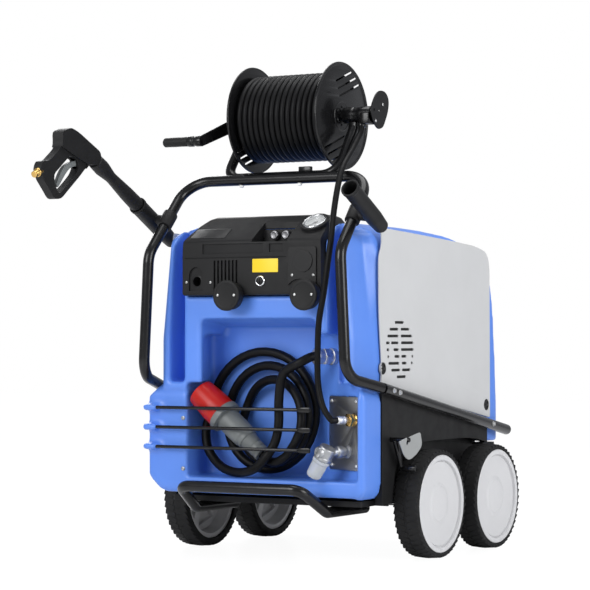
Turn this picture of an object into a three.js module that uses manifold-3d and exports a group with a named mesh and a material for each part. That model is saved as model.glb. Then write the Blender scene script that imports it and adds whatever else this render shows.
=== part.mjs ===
// Hot-water pressure washer on four wheels, with a push handle, a hose reel and a trigger gun.
// Millimetres, +Z up. The operator stands at -Y, +X is the operator's right hand.
// Pieces are drawn from the ground point midway between the four wheels; the last lines move the
// whole machine so that the origin lies under the middle of its outline.
import * as THREE from "three";
import { mergeVertices } from "three/addons/utils/BufferGeometryUtils.js";
import Module from "manifold-3d";

const wasm = await Module();
wasm.setup();

// ---------------------------------------------------------------- driving dimensions
const GAP = 0.3; // clearance between pieces that touch

const WHEEL = { radius: 150, width: 76, base: 352, outerFace: 408, lugs: 16, lugDepth: 7 };
const RIM = { radius: 126, coverRadius: 134, coverThick: 8, hubRadius: 30 };
const AXLE = { radius: 10, height: WHEEL.radius, endX: 388 };

const TUBE = { radius: 15, sides: 8 }; // frame tube, 30 mm outside
const HANDLE = { kneeX: 318, kneeY: -556, kneeZ: 500, shoulderX: 302, shoulderY: -555, shoulderZ: 832,
  barX: 292, barY: -372, barZ: 1040 };
const RAIL = { x: 353.4, frontY: -416, frontZ: 469, rearY: 356, rearZ: 331.5 };
const BUMPER = { frontY: -570, frontZ: 202, halfX: 189, tuckX: 208, tuckY: -462, tuckZ: 137, endY: -250 };

const HOOD = { frontY: -495, rearTopY: 292, rearLowY: 342, frontHalf: 297, sideHalf: 330, lowZ: 172,
  slopeZ: 860, crownZ: 935, shoulder: 82, wall: 9 };
const BLOCK = { half: 336, frontY: -490, backY: -394, topZ: 478 };
const BAY = { backY: -375, floorZ: 222, ledgeZ: 480, stepZ: 612, roofZ: 660, leftX: -219, leftUpX: -172,
  leftMidX: -160, rightUpX: 188 };
const SLANT = { edgeX: 312, edgeY: -470, angle: 27 }; // wall of the bay that carries gland and outlets
const CHANNEL = { inner: 226, outer: 276, backY: -412 };

const CONSOLE = { frontY: -512, half: 219, lowZ: 718, edgeZ: 866, topY: -408, topZ: 937, seatY: -440,
  seatZ: 900, rearY: -345 };
const CHASSIS = { floorZ: 152.5, panTopZ: 168, half: 338, skin: 20, rearY: 300, wallX: 300, arch: 166 };
const PANEL = { frontY: -398, rearY: 258, thick: 4, x: 330.4 };

const REEL = { y: -259, z: 1216, flangeX: 138, flangeRadius: 150, flangeThick: 3, coreRadius: 96,
  stub: 12, shaftStart: 150, shaftEndX: 236, housing: 19 };
const STAND = { footX: 186, leftX: 158, rightX: 182, footY: -339, footZ: 1048, radius: 14, eyeRadius: 23 };
const CRANK = { hubX: 174, reach: 170, flare: 33, thick: 6, width: 38, hubEndX: 192, gripEndX: 338 };
const HOSE = { radius: 8.25, pitch: 17.2, turns: 15, windRadius: 108, sides: 5, loopSteps: 14 };
const CABLE = { radius: 12.5, centreX: -28, centreZ: 402, loop: 172, drawIn: 28, stepBack: 36, turns: 2.62,
  backY: -390, bunch: -20, startAngle: 180, loopSteps: 20, sides: 6 };
const PLUG = { tail: [10, -466, 288], face: [-194, -457, 453] };

const HOLDER = { x: 354, length: 205, mouthRadius: 30, tipRadius: 16, bore: 24.6, pitch: 28.5 };
const HOLDER_MOUTH = { right: [-598, 992], left: [-535, 970] }; // Y, Z
const GUN = { thick: 34, barrelDrop: 8, seat: 232 }; // seat: nose to the holder's mouth
const TRIGGER = { slot: 13, thick: 11 };

const GAUGE = { x: 167, up: 75, radius: 33, depth: 12, needleRest: 225 };
const SWITCH = { x: 32, z: 756, ring: 15, neck: 10 };
const KNOBS = [{ x: 42, z: 881 }, { x: 78, z: 881 }];
const POST = { z: 717, radius: 41.5, neck: 16, faceY: -548, rootY: -495.3 };
const POST_X = [-86, 154];
const BRAKE = { y: -344, z: 330, shaft: 6, x0: 312, x1: 396, reach: 91, lean: -16 };
const GLAND = { along: 119, z: 553, length: 64 };
const UNION = { along: 28, z: 385 };
const INLET = { along: 55, z: 300 };
const OUTLET_HOLES = [[28, 385, 10], [55, 300, 11]];

// ---------------------------------------------------------------- small maths
const deg = THREE.MathUtils.degToRad;
const V = (x, y, z) => new THREE.Vector3(x, y, z);
const X = V(1, 0, 0);
const Y = V(0, 1, 0);
const Z = V(0, 0, 1);

// ---------------------------------------------------------------- solids
function solid(geometry) {
  const bare = geometry.index ? geometry.toNonIndexed() : geometry.clone();
  bare.deleteAttribute("normal");
  bare.deleteAttribute("uv");
  const merged = mergeVertices(bare, 1e-3);
  const corners = [];
  for (let i = 0; i < merged.index.count; i += 3) {
    const [a, b, c] = merged.index.array.slice(i, i + 3);
    if (a !== b && b !== c && c !== a) corners.push(a, b, c);
  }
  return new wasm.Manifold(
    new wasm.Mesh({
      numProp: 3,
      vertProperties: merged.attributes.position.array,
      triVerts: new Uint32Array(corners),
    }),
  );
}

function surface(body) {
  const mesh = body.getMesh();
  const points = new Float32Array(mesh.numVert * 3);
  for (let i = 0; i < mesh.numVert; i++) {
    points.set(mesh.vertProperties.subarray(i * mesh.numProp, i * mesh.numProp + 3), i * 3);
  }
  const geometry = new THREE.BufferGeometry();
  geometry.setAttribute("position", new THREE.BufferAttribute(points, 3));
  geometry.setIndex(new THREE.BufferAttribute(mesh.triVerts, 1));
  return geometry;
}

// Radius of a round opening with `sides` flats that leaves the gap all round.
const clear = (radius, sides = 12) => (radius + GAP) / Math.cos(Math.PI / sides);
const join = (...bodies) => bodies.reduce((all, body) => all.add(body));
const cut = (body, ...tools) => tools.reduce((rest, tool) => rest.subtract(tool), body);

function turned(geometry, basis, origin = V(0, 0, 0)) {
  const matrix = new THREE.Matrix4().makeBasis(...basis).setPosition(origin);
  return geometry.applyMatrix4(matrix);
}

const box = (x0, x1, y0, y1, z0, z1) =>
  solid(new THREE.BoxGeometry(x1 - x0, y1 - y0, z1 - z0)
    .translate((x0 + x1) / 2, (y0 + y1) / 2, (z0 + z1) / 2));

// An outline whose corners [x, y, radius] are rounded where a radius is given.
function outline(corners) {
  const shape = new THREE.Shape();
  const at = (i) => new THREE.Vector2(...corners[(i + corners.length) % corners.length]);
  corners.forEach(([x, y, radius = 0], i) => {
    const corner = new THREE.Vector2(x, y);
    const towards = (other) => {
      const edge = other.sub(corner);
      return edge.setLength(Math.min(radius, edge.length() * 0.47)).add(corner);
    };
    const before = towards(at(i - 1));
    const after = towards(at(i + 1));
    if (i === 0) shape.moveTo(before.x, before.y);
    else shape.lineTo(before.x, before.y);
    if (radius) shape.quadraticCurveTo(x, y, after.x, after.y);
  });
  shape.closePath();
  return shape;
}

const extrude = (shape, depth, curveSegments = 4) =>
  new THREE.ExtrudeGeometry(shape, { depth, bevelEnabled: false, curveSegments });
// Shapes drawn in (Y, Z), (X, Z) and (X, Y), pushed along the third axis.
const alongX = (shape, x0, x1, segments) =>
  solid(turned(extrude(shape, x1 - x0, segments), [Y, Z, X], V(x0, 0, 0)));
const alongY = (shape, y0, y1, segments) =>
  solid(turned(extrude(shape, y1 - y0, segments), [X, Z, V(0, -1, 0)], V(0, y1, 0)));
const alongZ = (shape, z0, z1, segments) =>
  solid(turned(extrude(shape, z1 - z0, segments), [X, Y, Z], V(0, 0, z0)));

// A frame whose third direction is the given one.
function basisAlong(direction) {
  const w = direction.clone().normalize();
  const u = (Math.abs(w.z) > 0.9 ? X : Z).clone().cross(w).normalize();
  return [u, w.clone().cross(u), w];
}

// A turned piece: profile points [radius, distance along the axis], from the axis back to the axis.
function lathe(profile, origin, direction, segments = 16) {
  const points = profile.map(([r, h]) => new THREE.Vector2(r, h));
  const [u, v, w] = basisAlong(direction);
  return solid(turned(new THREE.LatheGeometry(points, segments), [v, w, u], origin));
}

function rod(from, to, radius, segments = 12, endRadius = radius) {
  const run = to.clone().sub(from);
  return lathe([[0, 0], [radius, 0], [endRadius, run.length()], [0, run.length()]], from, run, segments);
}

// A run through given stations, so that straight lengths take no extra rings.
class StationRun extends THREE.Curve {
  constructor(stations) {
    super();
    this.stations = stations;
  }
  station(u) {
    return this.stations[Math.round(u * (this.stations.length - 1))];
  }
  getPointAt(u) {
    return this.station(u).at.clone();
  }
  getTangentAt(u) {
    return this.station(u).along.clone();
  }
}

function tubeAlong(stations, radius, sides) {
  const section = new THREE.Shape(
    Array.from({ length: sides }, (_, i) => {
      const angle = (2 * Math.PI * i) / sides;
      return new THREE.Vector2(radius * Math.cos(angle), radius * Math.sin(angle));
    }),
  );
  return new THREE.ExtrudeGeometry(section, {
    steps: stations.length - 1,
    extrudePath: new StationRun(stations),
    bevelEnabled: false,
  });
}

// Stations of a bent tube: corners [x, y, z, bend radius].
function bentStations(corners, arcSteps) {
  const at = corners.map(([x, y, z]) => V(x, y, z));
  const stations = [];
  at.forEach((corner, i) => {
    if (i === 0 || i === at.length - 1) {
      const along = (i ? corner.clone().sub(at[i - 1]) : at[1].clone().sub(corner)).normalize();
      stations.push({ at: corner, along });
      return;
    }
    const arriving = corner.clone().sub(at[i - 1]).normalize();
    const leaving = at[i + 1].clone().sub(corner).normalize();
    const turn = arriving.angleTo(leaving);
    const radius = corners[i][3];
    const inward = leaving.clone().sub(arriving).normalize();
    const centre = corner.clone().addScaledVector(inward, radius / Math.cos(turn / 2));
    const axis = arriving.clone().cross(leaving).normalize();
    const start = corner.clone().addScaledVector(arriving, -radius * Math.tan(turn / 2)).sub(centre);
    for (let k = 0; k <= arcSteps; k++) {
      const angle = (turn * k) / arcSteps;
      stations.push({
        at: start.clone().applyAxisAngle(axis, angle).add(centre),
        along: arriving.clone().applyAxisAngle(axis, angle),
      });
    }
  });
  return stations;
}

const bentTube = (corners, radius = TUBE.radius, sides = TUBE.sides, arcSteps = 6) =>
  solid(tubeAlong(bentStations(corners, arcSteps), radius, sides));

// Stations on a list of points, with the direction of travel taken from the neighbours.
function runStations(points) {
  return points.map((at, i) => {
    const before = points[Math.max(i - 1, 0)];
    const after = points[Math.min(i + 1, points.length - 1)];
    return { at, along: after.clone().sub(before).normalize() };
  });
}

const smoothRun = (points, steps) => new THREE.CatmullRomCurve3(points, false, "centripetal").getSpacedPoints(steps);
const mirrorX = (body) => body.mirror([1, 0, 0]);

// ---------------------------------------------------------------- finishes
const finish = (color, roughness, metalness = 0) =>
  new THREE.MeshStandardMaterial({ color, roughness, metalness });
const FINISH = {
  hood: finish(0x5f8be2, 0.45),
  sheet: finish(0xc9cacb, 0.5),
  blackPaint: finish(0x141416, 0.35),
  blackPlastic: finish(0x2a2a2b, 0.6),
  greyPlastic: finish(0x8c9090, 0.5),
  rubber: finish(0x17171a, 0.8),
  rim: finish(0xd9dadb, 0.4),
  steel: finish(0xb9bbbd, 0.3, 1),
  brass: finish(0xc39a4c, 0.3, 1),
  red: finish(0xc4180e, 0.45),
  hose: finish(0x101013, 0.55),
  clear: finish(0xd5d8d8, 0.2),
  copper: finish(0xb06a45, 0.4, 1),
};

const washer = new THREE.Group();
washer.name = "pressure_washer";
function add(name, body, material) {
  const mesh = new THREE.Mesh(surface(body), material);
  mesh.name = name;
  washer.add(mesh);
  return mesh;
}

// ---------------------------------------------------------------- blue hood and bumper block
// The hood's outer form, drawn in by `inset` for its inside.
function hoodForm(inset) {
  const { frontY, rearTopY, rearLowY, frontHalf, sideHalf, slopeZ, crownZ, shoulder } = HOOD;
  const d = inset;
  const side = outline([
    [frontY + d, BLOCK.topZ - 14 - d], [frontY + d, slopeZ - d * 0.7, 20],
    [-402 + d * 0.3, 925 - d, 30], [-300, crownZ - d, 60], [110, 886 - d, 60],
    [rearTopY - d, 800, 90], [rearLowY - d, 300 - d], [252 + d, 300 - d],
    [252 + d, 352], [-390 + d, 472 - d],
  ]);
  const front = outline([
    [-sideHalf + d, 160], [sideHalf - d, 160], [sideHalf - d, 800, 60],
    [sideHalf - 18 - d, crownZ - 34 - d, shoulder - d], [0, crownZ - d + 4, 220],
    [-sideHalf + 18 + d, crownZ - 34 - d, shoulder - d], [-sideHalf + d, 800, 60],
  ]);
  const plan = outline([
    [-frontHalf + d, frontY - 1 + d, 16], [frontHalf - d, frontY - 1 + d, 16],
    [sideHalf - d, -402, 60], [sideHalf - d, 250, 20], [sideHalf - 36 - d, rearLowY + 1 - d, 34],
    [-sideHalf + 36 + d, rearLowY + 1 - d, 34], [-sideHalf + d, 250, 20], [-sideHalf + d, -402, 60],
  ]);
  return alongX(side, -sideHalf - 5, sideHalf + 5, 3)
    .intersect(alongY(front, frontY - 5, rearLowY + 5, 4))
    .intersect(alongZ(plan, 100, 1000, 3));
}

// Wider moulded block low at the front, with its sloping ledge and tapered lower corners.
function bumperBlock() {
  const { half, frontY, backY, topZ } = BLOCK;
  const low = HOOD.lowZ;
  const front = outline([
    [-half + 46, low, 20], [half - 16, low, 14], [half, low + 26, 14], [half, topZ - 26, 16],
    [half - 34, topZ + 8, 20], [-half + 34, topZ + 8, 20], [-half, topZ - 26, 16], [-half, low + 34, 14],
  ]);
  const plan = outline([
    [-half, frontY, 14], [half, frontY, 14], [half, backY], [half - 26, backY], [half - 26, -362],
    [-half + 26, -362], [-half + 26, backY], [-half, backY],
  ]);
  const side = outline([
    [frontY, low + 16, 14], [frontY, topZ - 20, 14], [frontY + 34, topZ + 8, 10], [-362, topZ + 8],
    [-362, low], [frontY + 18, low, 14],
  ]);
  return alongY(front, frontY, -362, 2)
    .intersect(alongZ(plan, low - 5, topZ + 20, 2))
    .intersect(alongX(side, -half - 5, half + 5, 2));
}

// Plan outline of the storage bay: left wall, back wall, slanted outlet wall, open front.
function bayPlan(leftX, backLeftX, grow) {
  const { edgeX, edgeY, angle } = SLANT;
  const run = edgeY - BAY.backY;
  const footX = edgeX + run / Math.tan(deg(angle));
  return outline([
    [leftX - grow, HOOD.frontY - 20], [backLeftX - grow, BAY.backY + grow, 14],
    [footX + grow * 0.3, BAY.backY + grow, 14], [edgeX + grow, edgeY + grow * 0.5, 6],
    [edgeX + 6 + grow, HOOD.frontY - 20],
  ]);
}

function bay(grow) {
  const { floorZ, ledgeZ, stepZ, roofZ, leftX, leftUpX, leftMidX, rightUpX } = BAY;
  const low = alongZ(bayPlan(leftX, leftX, grow), floorZ - grow, ledgeZ + grow, 2);
  const middle = alongZ(bayPlan(leftMidX, -212, grow), ledgeZ - 5, stepZ + grow, 2)
    .subtract(box(268 + grow, 400, -600, 0, ledgeZ + grow, 800));
  const top = alongZ(outline([
    [leftUpX - grow, HOOD.frontY - 20], [leftUpX + 8 - grow, BAY.backY + grow, 14],
    [rightUpX - 40 + grow, BAY.backY + grow, 14], [rightUpX + grow, -440], [rightUpX + grow, HOOD.frontY - 20],
  ]), stepZ - 5, roofZ + grow);
  // The roof falls towards the back.
  const fall = alongX(outline([
    [HOOD.frontY - 30, roofZ + grow + 2], [BAY.backY + 40, roofZ + grow + 2], [BAY.backY + 40, roofZ - 40 + grow],
    [BAY.backY, roofZ - 27 + grow],
  ]), -400, 400);
  return join(low, middle, top).subtract(fall);
}

const mirroredBoxes = (x0, x1, ...rest) => join(box(x0, x1, ...rest), box(-x1, -x0, ...rest));

function makeHood() {
  const outer = join(hoodForm(0), bumperBlock());
  const channels = mirroredBoxes(CHANNEL.inner, CHANNEL.outer, -520, CHANNEL.backY, BLOCK.topZ + 4, 990);
  const channelWalls = mirroredBoxes(CHANNEL.inner - 8, CHANNEL.outer + 8, -500, CHANNEL.backY + 8, 470, 960);
  const inside = hoodForm(HOOD.wall)
    .add(box(-300, 300, -470, -350, HOOD.lowZ - 10, BLOCK.topZ - 4))
    .add(box(-312, 312, -368, 240, HOOD.lowZ - 10, 480))
    .subtract(bay(8))
    .subtract(channelWalls)
    .subtract(box(-260, 260, -520, CONSOLE.seatY + 8, 700, 990))
    .subtract(box(-260, 260, -450, CONSOLE.rearY + 8, CONSOLE.seatZ - 8, 990));
  const consoleSeat = join(
    box(-CONSOLE.half - GAP, CONSOLE.half + GAP, -540, CONSOLE.seatY, CONSOLE.lowZ - GAP, 990),
    box(-CONSOLE.half - GAP, CONSOLE.half + GAP, -450, CONSOLE.rearY + GAP, CONSOLE.seatZ - GAP, 990),
  );
  // Bosses of the stowage rods, standing on the face of the block.
  const sockets = join(...ROD_HEIGHTS.map((z) => alongX(outline([
    [BLOCK.frontY + 8, z - 9], [ROD.y - 4, z - 9], [ROD.y - 10, z - 4], [ROD.y - 10, z + 4], [ROD.y - 4, z + 9],
    [BLOCK.frontY + 8, z + 9],
  ]), -335, -ROD.rootX + 2)));
  const bores = join(...ROD_HEIGHTS.map((z) =>
    rod(V(-ROD.endX - 1, ROD.y, z), V(-ROD.rootX + 10, ROD.y, z), clear(ROD.radius, 8), 8)));
  let body = cut(outer, bay(0), channels, consoleSeat, inside);
  body = join(body, sockets).subtract(bores);
  // Sunken seat of the outlet plate in the slanted wall.
  const stems = OUTLET_HOLES.map(([a, z, r]) => rod(onSlant(a, -20, z), onSlant(a, 5, z), clear(r), 12));
  return cut(body, slantBox(3, 149, -5, 3, 247, 449), ...stems).decompose()
    .reduce((best, part) => (part.volume() > best.volume() ? part : best));
}

// ---------------------------------------------------------------- slanted outlet wall
// A box on the slanted wall: along the wall from its front edge, out of the wall, up.
const slantOut = V(-Math.sin(deg(SLANT.angle)), -Math.cos(deg(SLANT.angle)), 0);
const slantAlong = V(-Math.cos(deg(SLANT.angle)), Math.sin(deg(SLANT.angle)), 0);
const onSlant = (along, out, z) =>
  V(SLANT.edgeX, SLANT.edgeY, z).addScaledVector(slantAlong, along).addScaledVector(slantOut, out);
function slantBox(a0, a1, inward, outward, z0, z1) {
  const shape = new THREE.Shape([[a0, inward], [a1, inward], [a1, outward], [a0, outward]]
    .map(([a, o]) => onSlant(a, o, 0)).map((p) => new THREE.Vector2(p.x, p.y)));
  return alongZ(shape, z0, z1);
}

// ---------------------------------------------------------------- stowage rods
const ROD = { y: -509, radius: 4.75, rootX: 302, endX: 326, tipX: 184 };
const ROD_HEIGHTS = [303, 357, 411];

const stowageRod = (z) =>
  join(
    rod(V(-ROD.endX, ROD.y, z), V(ROD.tipX - 40, ROD.y, z), ROD.radius, 8),
    alongY(outline([[ROD.tipX - 42, z - 3], [ROD.tipX - 30, z - 7], [ROD.tipX, z - 7, 5],
      [ROD.tipX, z + 7, 5], [ROD.tipX - 30, z + 7], [ROD.tipX - 42, z + 3]]), ROD.y - 2.5, ROD.y + 2.5, 2),
  );

// ---------------------------------------------------------------- side panels
function panelOutline(grow = 0) {
  const { frontY, rearY } = PANEL;
  return outline([
    [frontY + 6 - grow, 478 - grow], [frontY + 12 - grow, 520], [frontY - 2 - grow, 660, 60],
    [frontY - 4 - grow, 820, 20], [frontY + 14 - grow, 852, 20], [frontY + 8 - grow, 884 + grow, 14],
    [-180, 878 + grow, 60], [60, 862 + grow, 40], [rearY - 4 + grow, 838 + grow, 78],
    [rearY + grow, 370 - grow, 10],
  ]);
}

// Round field of ventilation slots: rows of rounded slots, clipped to a circle.
function grille(x0, x1) {
  const centreY = -296;
  const centreZ = 571;
  const rows = [[1], [1, 1], [1.25, 1.25], [0.5, 1, 1.35], [0.4, 0.6, 1.35], [0.35, 0.6, 0.6, 0.35],
    [1.25, 0.6, 0.4], [1, 1], [1]];
  const slotHeight = 7;
  const rowPitch = 18.4;
  const unit = 26;
  const slots = [];
  rows.forEach((widths, row) => {
    const bridge = 12;
    const total = widths.reduce((sum, w) => sum + w * unit, 0) + bridge * (widths.length - 1);
    let left = centreY - total / 2;
    widths.forEach((w) => {
      const length = w * unit;
      const z = centreZ + rowPitch * (4 - row);
      slots.push(alongX(outline([[left, z - slotHeight / 2], [left + length, z - slotHeight / 2],
        [left + length, z + slotHeight / 2], [left, z + slotHeight / 2]]), x0, x1));
      left += length + bridge;
    });
  });
  return slots;
}

const panelFastenerSeats = (x0, x1) => [[-376, 521], [244, 408]]
  .map(([y, z]) => rod(V(x0, y, z), V(x1, y, z), 14, 8));

function makeSidePanel() {
  const sheet = alongX(panelOutline(), PANEL.x, PANEL.x + PANEL.thick, 2);
  return cut(sheet, ...grille(PANEL.x - 5, PANEL.x + 9), ...panelFastenerSeats(PANEL.x + 2, PANEL.x + 9));
}

// ---------------------------------------------------------------- chassis tray
function archOutline() {
  const { arch } = CHASSIS;
  const half = WHEEL.base / 2;
  return outline([[-half - arch, 0], [-half - arch, 150, 60], [-half - arch + 40, 300, 60],
    [-half, 150 + arch + 2, 80], [half, 150 + arch + 2, 80], [half + arch - 10, 280, 60],
    [half + arch, 150], [half + arch, 0]]);
}

function makeChassis() {
  const { floorZ, panTopZ, half, skin, rearY, wallX } = CHASSIS;
  const skirt = outline([[-392.5, panTopZ - 10], [-392.5, 471], [250, 349], [250, 293], [300, 293], [300, panTopZ - 10]]);
  const skirts = join(alongX(skirt, half - skin, half), alongX(skirt, -half, -half + skin))
    .subtract(alongX(archOutline(), -400, 400, 2));
  const walls = outline([[-356, floorZ], [-356, 335], [rearY, 292], [rearY, floorZ]]);
  const longerons = join(alongX(walls, wallX - 5, wallX), alongX(walls, -wallX, -wallX + 5));
  const pan = alongZ(outline([[-300, -440, 12], [300, -440, 12], [300, rearY, 12], [-300, rearY, 12]]), floorZ, panTopZ);
  const bulkhead = box(-half, half, -360.5, -355, floorZ, 458);
  const frontTies = mirroredBoxes(half - skin, half, -392.5, -355, panTopZ - 10, 440);
  const shelf = mirroredBoxes(wallX - 5, half, -330, 250, 330, 336);
  const shelfRear = mirroredBoxes(wallX - 5, half - 2, 226, 300, 293, 299);
  const axleBores = [-1, 1].map((side) =>
    rod(V(-400, (side * WHEEL.base) / 2, AXLE.height), V(400, (side * WHEEL.base) / 2, AXLE.height), clear(AXLE.radius), 12));
  const bosses = [-1, 1].flatMap((side) => [-1, 1].map((end) =>
    rod(V(side * (wallX - 30), (end * WHEEL.base) / 2, AXLE.height),
      V(side * (wallX + 14), (end * WHEEL.base) / 2, AXLE.height), 22, 8)));
  const brakeBore = rod(V(305, BRAKE.y, BRAKE.z), V(345, BRAKE.y, BRAKE.z), clear(BRAKE.shaft, 8), 8);
  return cut(join(skirts, longerons, pan, bulkhead, frontTies, shelf, shelfRear, ...bosses), ...axleBores, brakeBore);
}

// ---------------------------------------------------------------- wheels
const axlePoint = (x, end) => V(x, (end * WHEEL.base) / 2, AXLE.height);

// Outline of the tread: blocks with slanted flanks between cross grooves.
function treadOutline() {
  const { radius, lugs, lugDepth } = WHEEL;
  const pitch = (2 * Math.PI) / lugs;
  const shape = [];
  for (let i = 0; i < lugs; i++) {
    for (const [share, r] of [[0, radius], [0.62, radius], [0.7, radius - lugDepth], [0.92, radius - lugDepth]]) {
      const angle = pitch * (i + share - 0.31) - Math.PI / 2;
      shape.push(new THREE.Vector2(r * Math.cos(angle), r * Math.sin(angle)));
    }
  }
  return new THREE.Shape(shape);
}

function makeTyre(side, end) {
  const inner = WHEEL.outerFace - WHEEL.width;
  const tread = turned(extrude(treadOutline(), WHEEL.width), [Y, Z, X], V(inner, 0, 0));
  const rimSpace = lathe([[0, -1], [RIM.radius + GAP, -1], [RIM.radius + GAP, WHEEL.width - RIM.coverThick],
    [RIM.coverRadius + GAP, WHEEL.width - RIM.coverThick], [RIM.coverRadius + GAP, WHEEL.width + 1],
    [0, WHEEL.width + 1]], V(inner, 0, 0), X, 14);
  const tyre = solid(tread).subtract(rimSpace);
  const placed = tyre.translate([0, (end * WHEEL.base) / 2, AXLE.height]);
  return side < 0 ? mirrorX(placed) : placed;
}

// Dished disc wheel: closed cover outside, five pockets between spokes inside, blind hub bore.
function makeRim(side, end) {
  const inner = WHEEL.outerFace - WHEEL.width;
  const w = WHEEL.width;
  const dish = lathe([[0, 20], [RIM.hubRadius, 20], [RIM.hubRadius + 4, 42], [104, 42], [112, 8],
    [RIM.radius, 8], [RIM.radius, w - RIM.coverThick + GAP], [RIM.coverRadius, w - RIM.coverThick + GAP],
    [RIM.coverRadius, w - 2], [119, w], [100, w - 4], [0, w - 4]], V(inner, 0, 0), X, 14);
  const pockets = [0, 1, 2, 3, 4].map((i) => {
    const corner = (r, turn) => {
      const angle = deg(72 * i + turn);
      return [r * Math.cos(angle), r * Math.sin(angle)];
    };
    const wedge = outline([corner(44, -20), corner(94, -27), corner(94, 27), corner(44, 20)]);
    return alongX(wedge, inner + 10, inner + w - 10, 2);
  });
  const bore = rod(V(inner - 5, 0, 0), V(AXLE.endX + 2, 0, 0), clear(AXLE.radius), 12);
  const placed = cut(dish, ...pockets, bore).translate([0, (end * WHEEL.base) / 2, AXLE.height]);
  return side < 0 ? mirrorX(placed) : placed;
}

const makeAxle = (end) => rod(axlePoint(-AXLE.endX, end), axlePoint(AXLE.endX, end), AXLE.radius, 12);

// ---------------------------------------------------------------- wheel brake
// One welded lever: cross shaft, foot plate in front and shoe arm above the right front tyre.
function makeBrake() {
  const { y, z, shaft, x0, x1, reach } = BRAKE;
  const bar = rod(V(x0, y, z), V(x1, y, z), shaft, 8);
  // Shield-shaped plate, turned a little outwards; (u, z) runs along its width.
  const across = V(0.299, 0.954, 0);
  const face = outline([[0, 327, 3], [19, 287, 14], [38, 275, 14], [60, 288, 5], [68, 294, 5], [87, 314, 12], [80, 350, 6],
    [61, 345], [38, 338], [32, 318, 3.5], [26, 318, 3.5], [30, 337]]);
  const plate = solid(turned(extrude(face, 4, 2), [across, Z, across.clone().cross(Z)], V(378.7, -376, 0)));
  const toAxle = Math.atan2(AXLE.height - z, -WHEEL.base / 2 - y);
  const angle = toAxle + deg(BRAKE.lean);
  const tip = V(0, Math.cos(angle), Math.sin(angle));
  const arm = rod(V(351, y, z), V(351, y, z).addScaledVector(tip, reach - 4), 7, 6);
  const shoe = rod(V(346, y, z).addScaledVector(tip, reach - 4), V(394, y, z).addScaledVector(tip, reach - 4), 9, 8);
  return join(bar, plate, arm, shoe);
}

// ---------------------------------------------------------------- tubes
function makeHandle() {
  const { kneeX, kneeY, kneeZ, shoulderX, shoulderY, shoulderZ, barX, barY, barZ } = HANDLE;
  const rightHalf = [
    [RAIL.x - 1, RAIL.frontY - 4.5, RAIL.frontZ + 1], [kneeX, kneeY, kneeZ, 62], [shoulderX, shoulderY, shoulderZ, 70],
    [barX, barY, barZ, 78],
  ];
  const leftHalf = rightHalf.map(([x, ...rest]) => [-x, ...rest]).reverse();
  return bentTube([...rightHalf, ...leftHalf], TUBE.radius, TUBE.sides, 4);
}

function makeRail() {
  const front = V(RAIL.x, RAIL.frontY, RAIL.frontZ);
  const rear = V(RAIL.x, RAIL.rearY, RAIL.rearZ);
  const length = rear.distanceTo(front);
  return lathe([[0, 0], [TUBE.radius, 0], [TUBE.radius, length - 8], [TUBE.radius - 4, length - 1], [0, length]],
    front, rear.clone().sub(front), TUBE.sides);
}

function makeBumper() {
  const { frontY, frontZ, halfX, tuckX, tuckY, tuckZ, endY } = BUMPER;
  const rightHalf = [[tuckX, endY, tuckZ], [tuckX, tuckY, tuckZ, 30], [halfX, frontY, frontZ, 34]];
  const leftHalf = rightHalf.map(([x, ...rest]) => [-x, ...rest]).reverse();
  return bentTube([...rightHalf, ...leftHalf], TUBE.radius, TUBE.sides, 4);
}

// Bent-tube stand bolted on the handle bar, with the eye that carries the reel's left stub.
function makeReelStand() {
  const { y, z } = REEL;
  const { footX, leftX, rightX, footY, footZ, radius, eyeRadius } = STAND;
  const tube = bentTube([
    [-leftX, y - 2, z - 8], [-footX, footY, footZ, 34], [footX, footY, footZ, 34], [rightX, y - 6, z - 34],
  ], radius, 8, 4);
  const eye = rod(V(-leftX - 11, y, z), V(-leftX + 10, y, z), eyeRadius, 12);
  const bore = rod(V(-leftX - 40, y, z), V(-leftX + 40, y, z), clear(REEL.stub), 12);
  const saddle = box(rightX - 12, rightX + 12, y - 17, y + 5, z - 40, z - REEL.housing - GAP);
  const lug = box(20, 58, footY - 2, footY + 12, footZ + 8, footZ + 30);
  const reelSpace = rod(V(-REEL.flangeX - 9, y, z), V(REEL.flangeX + 9, y, z), REEL.flangeRadius + 6, 24);
  return join(tube, eye, saddle, lug).subtract(bore).subtract(reelSpace);
}

// ---------------------------------------------------------------- hose reel
function makeReelCore() {
  const { y, z, flangeX, coreRadius, stub, shaftStart } = REEL;
  const left = -CRANK.hubEndX + 3;
  const right = shaftStart + 44;
  return lathe([[0, left], [stub, left], [stub, -flangeX + GAP], [coreRadius, -flangeX + GAP],
    [coreRadius, flangeX - GAP], [stub, flangeX - GAP], [stub, right], [0, right]], V(0, y, z), X, 18);
}

// Pressed disc with a rolled rim; the operator's side of the right one has three slots top and bottom.
function makeFlange(side) {
  const { y, z, flangeX, flangeRadius, flangeThick, stub } = REEL;
  const disc = lathe([[0, 0], [flangeRadius - 2, 0], [flangeRadius, 2], [flangeRadius - 3, flangeThick + 3],
    [flangeRadius - 6, flangeThick], [0, flangeThick]], V(flangeX, y, z), X, 18);
  const lean = deg(28);
  const slots = [-1, 1].flatMap((half) => [0, 1, 2].map((i) => {
    const up = half * (66 + 25 * i);
    const reach = 40 - 6 * i;
    const corners = [[-reach, up - 2.5], [reach, up - 2.5], [reach, up + 2.5], [-reach, up + 2.5]].map(([a, b]) =>
      [y + a * Math.cos(lean) - b * Math.sin(lean), z + a * Math.sin(lean) + b * Math.cos(lean)]);
    return alongX(outline(corners), flangeX - 5, flangeX + 20);
  }));
  const hub = rod(V(flangeX - 5, y, z), V(flangeX + 20, y, z), clear(stub), 12);
  const right = cut(disc, hub, ...slots);
  return side < 0 ? mirrorX(right) : right;
}

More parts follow.
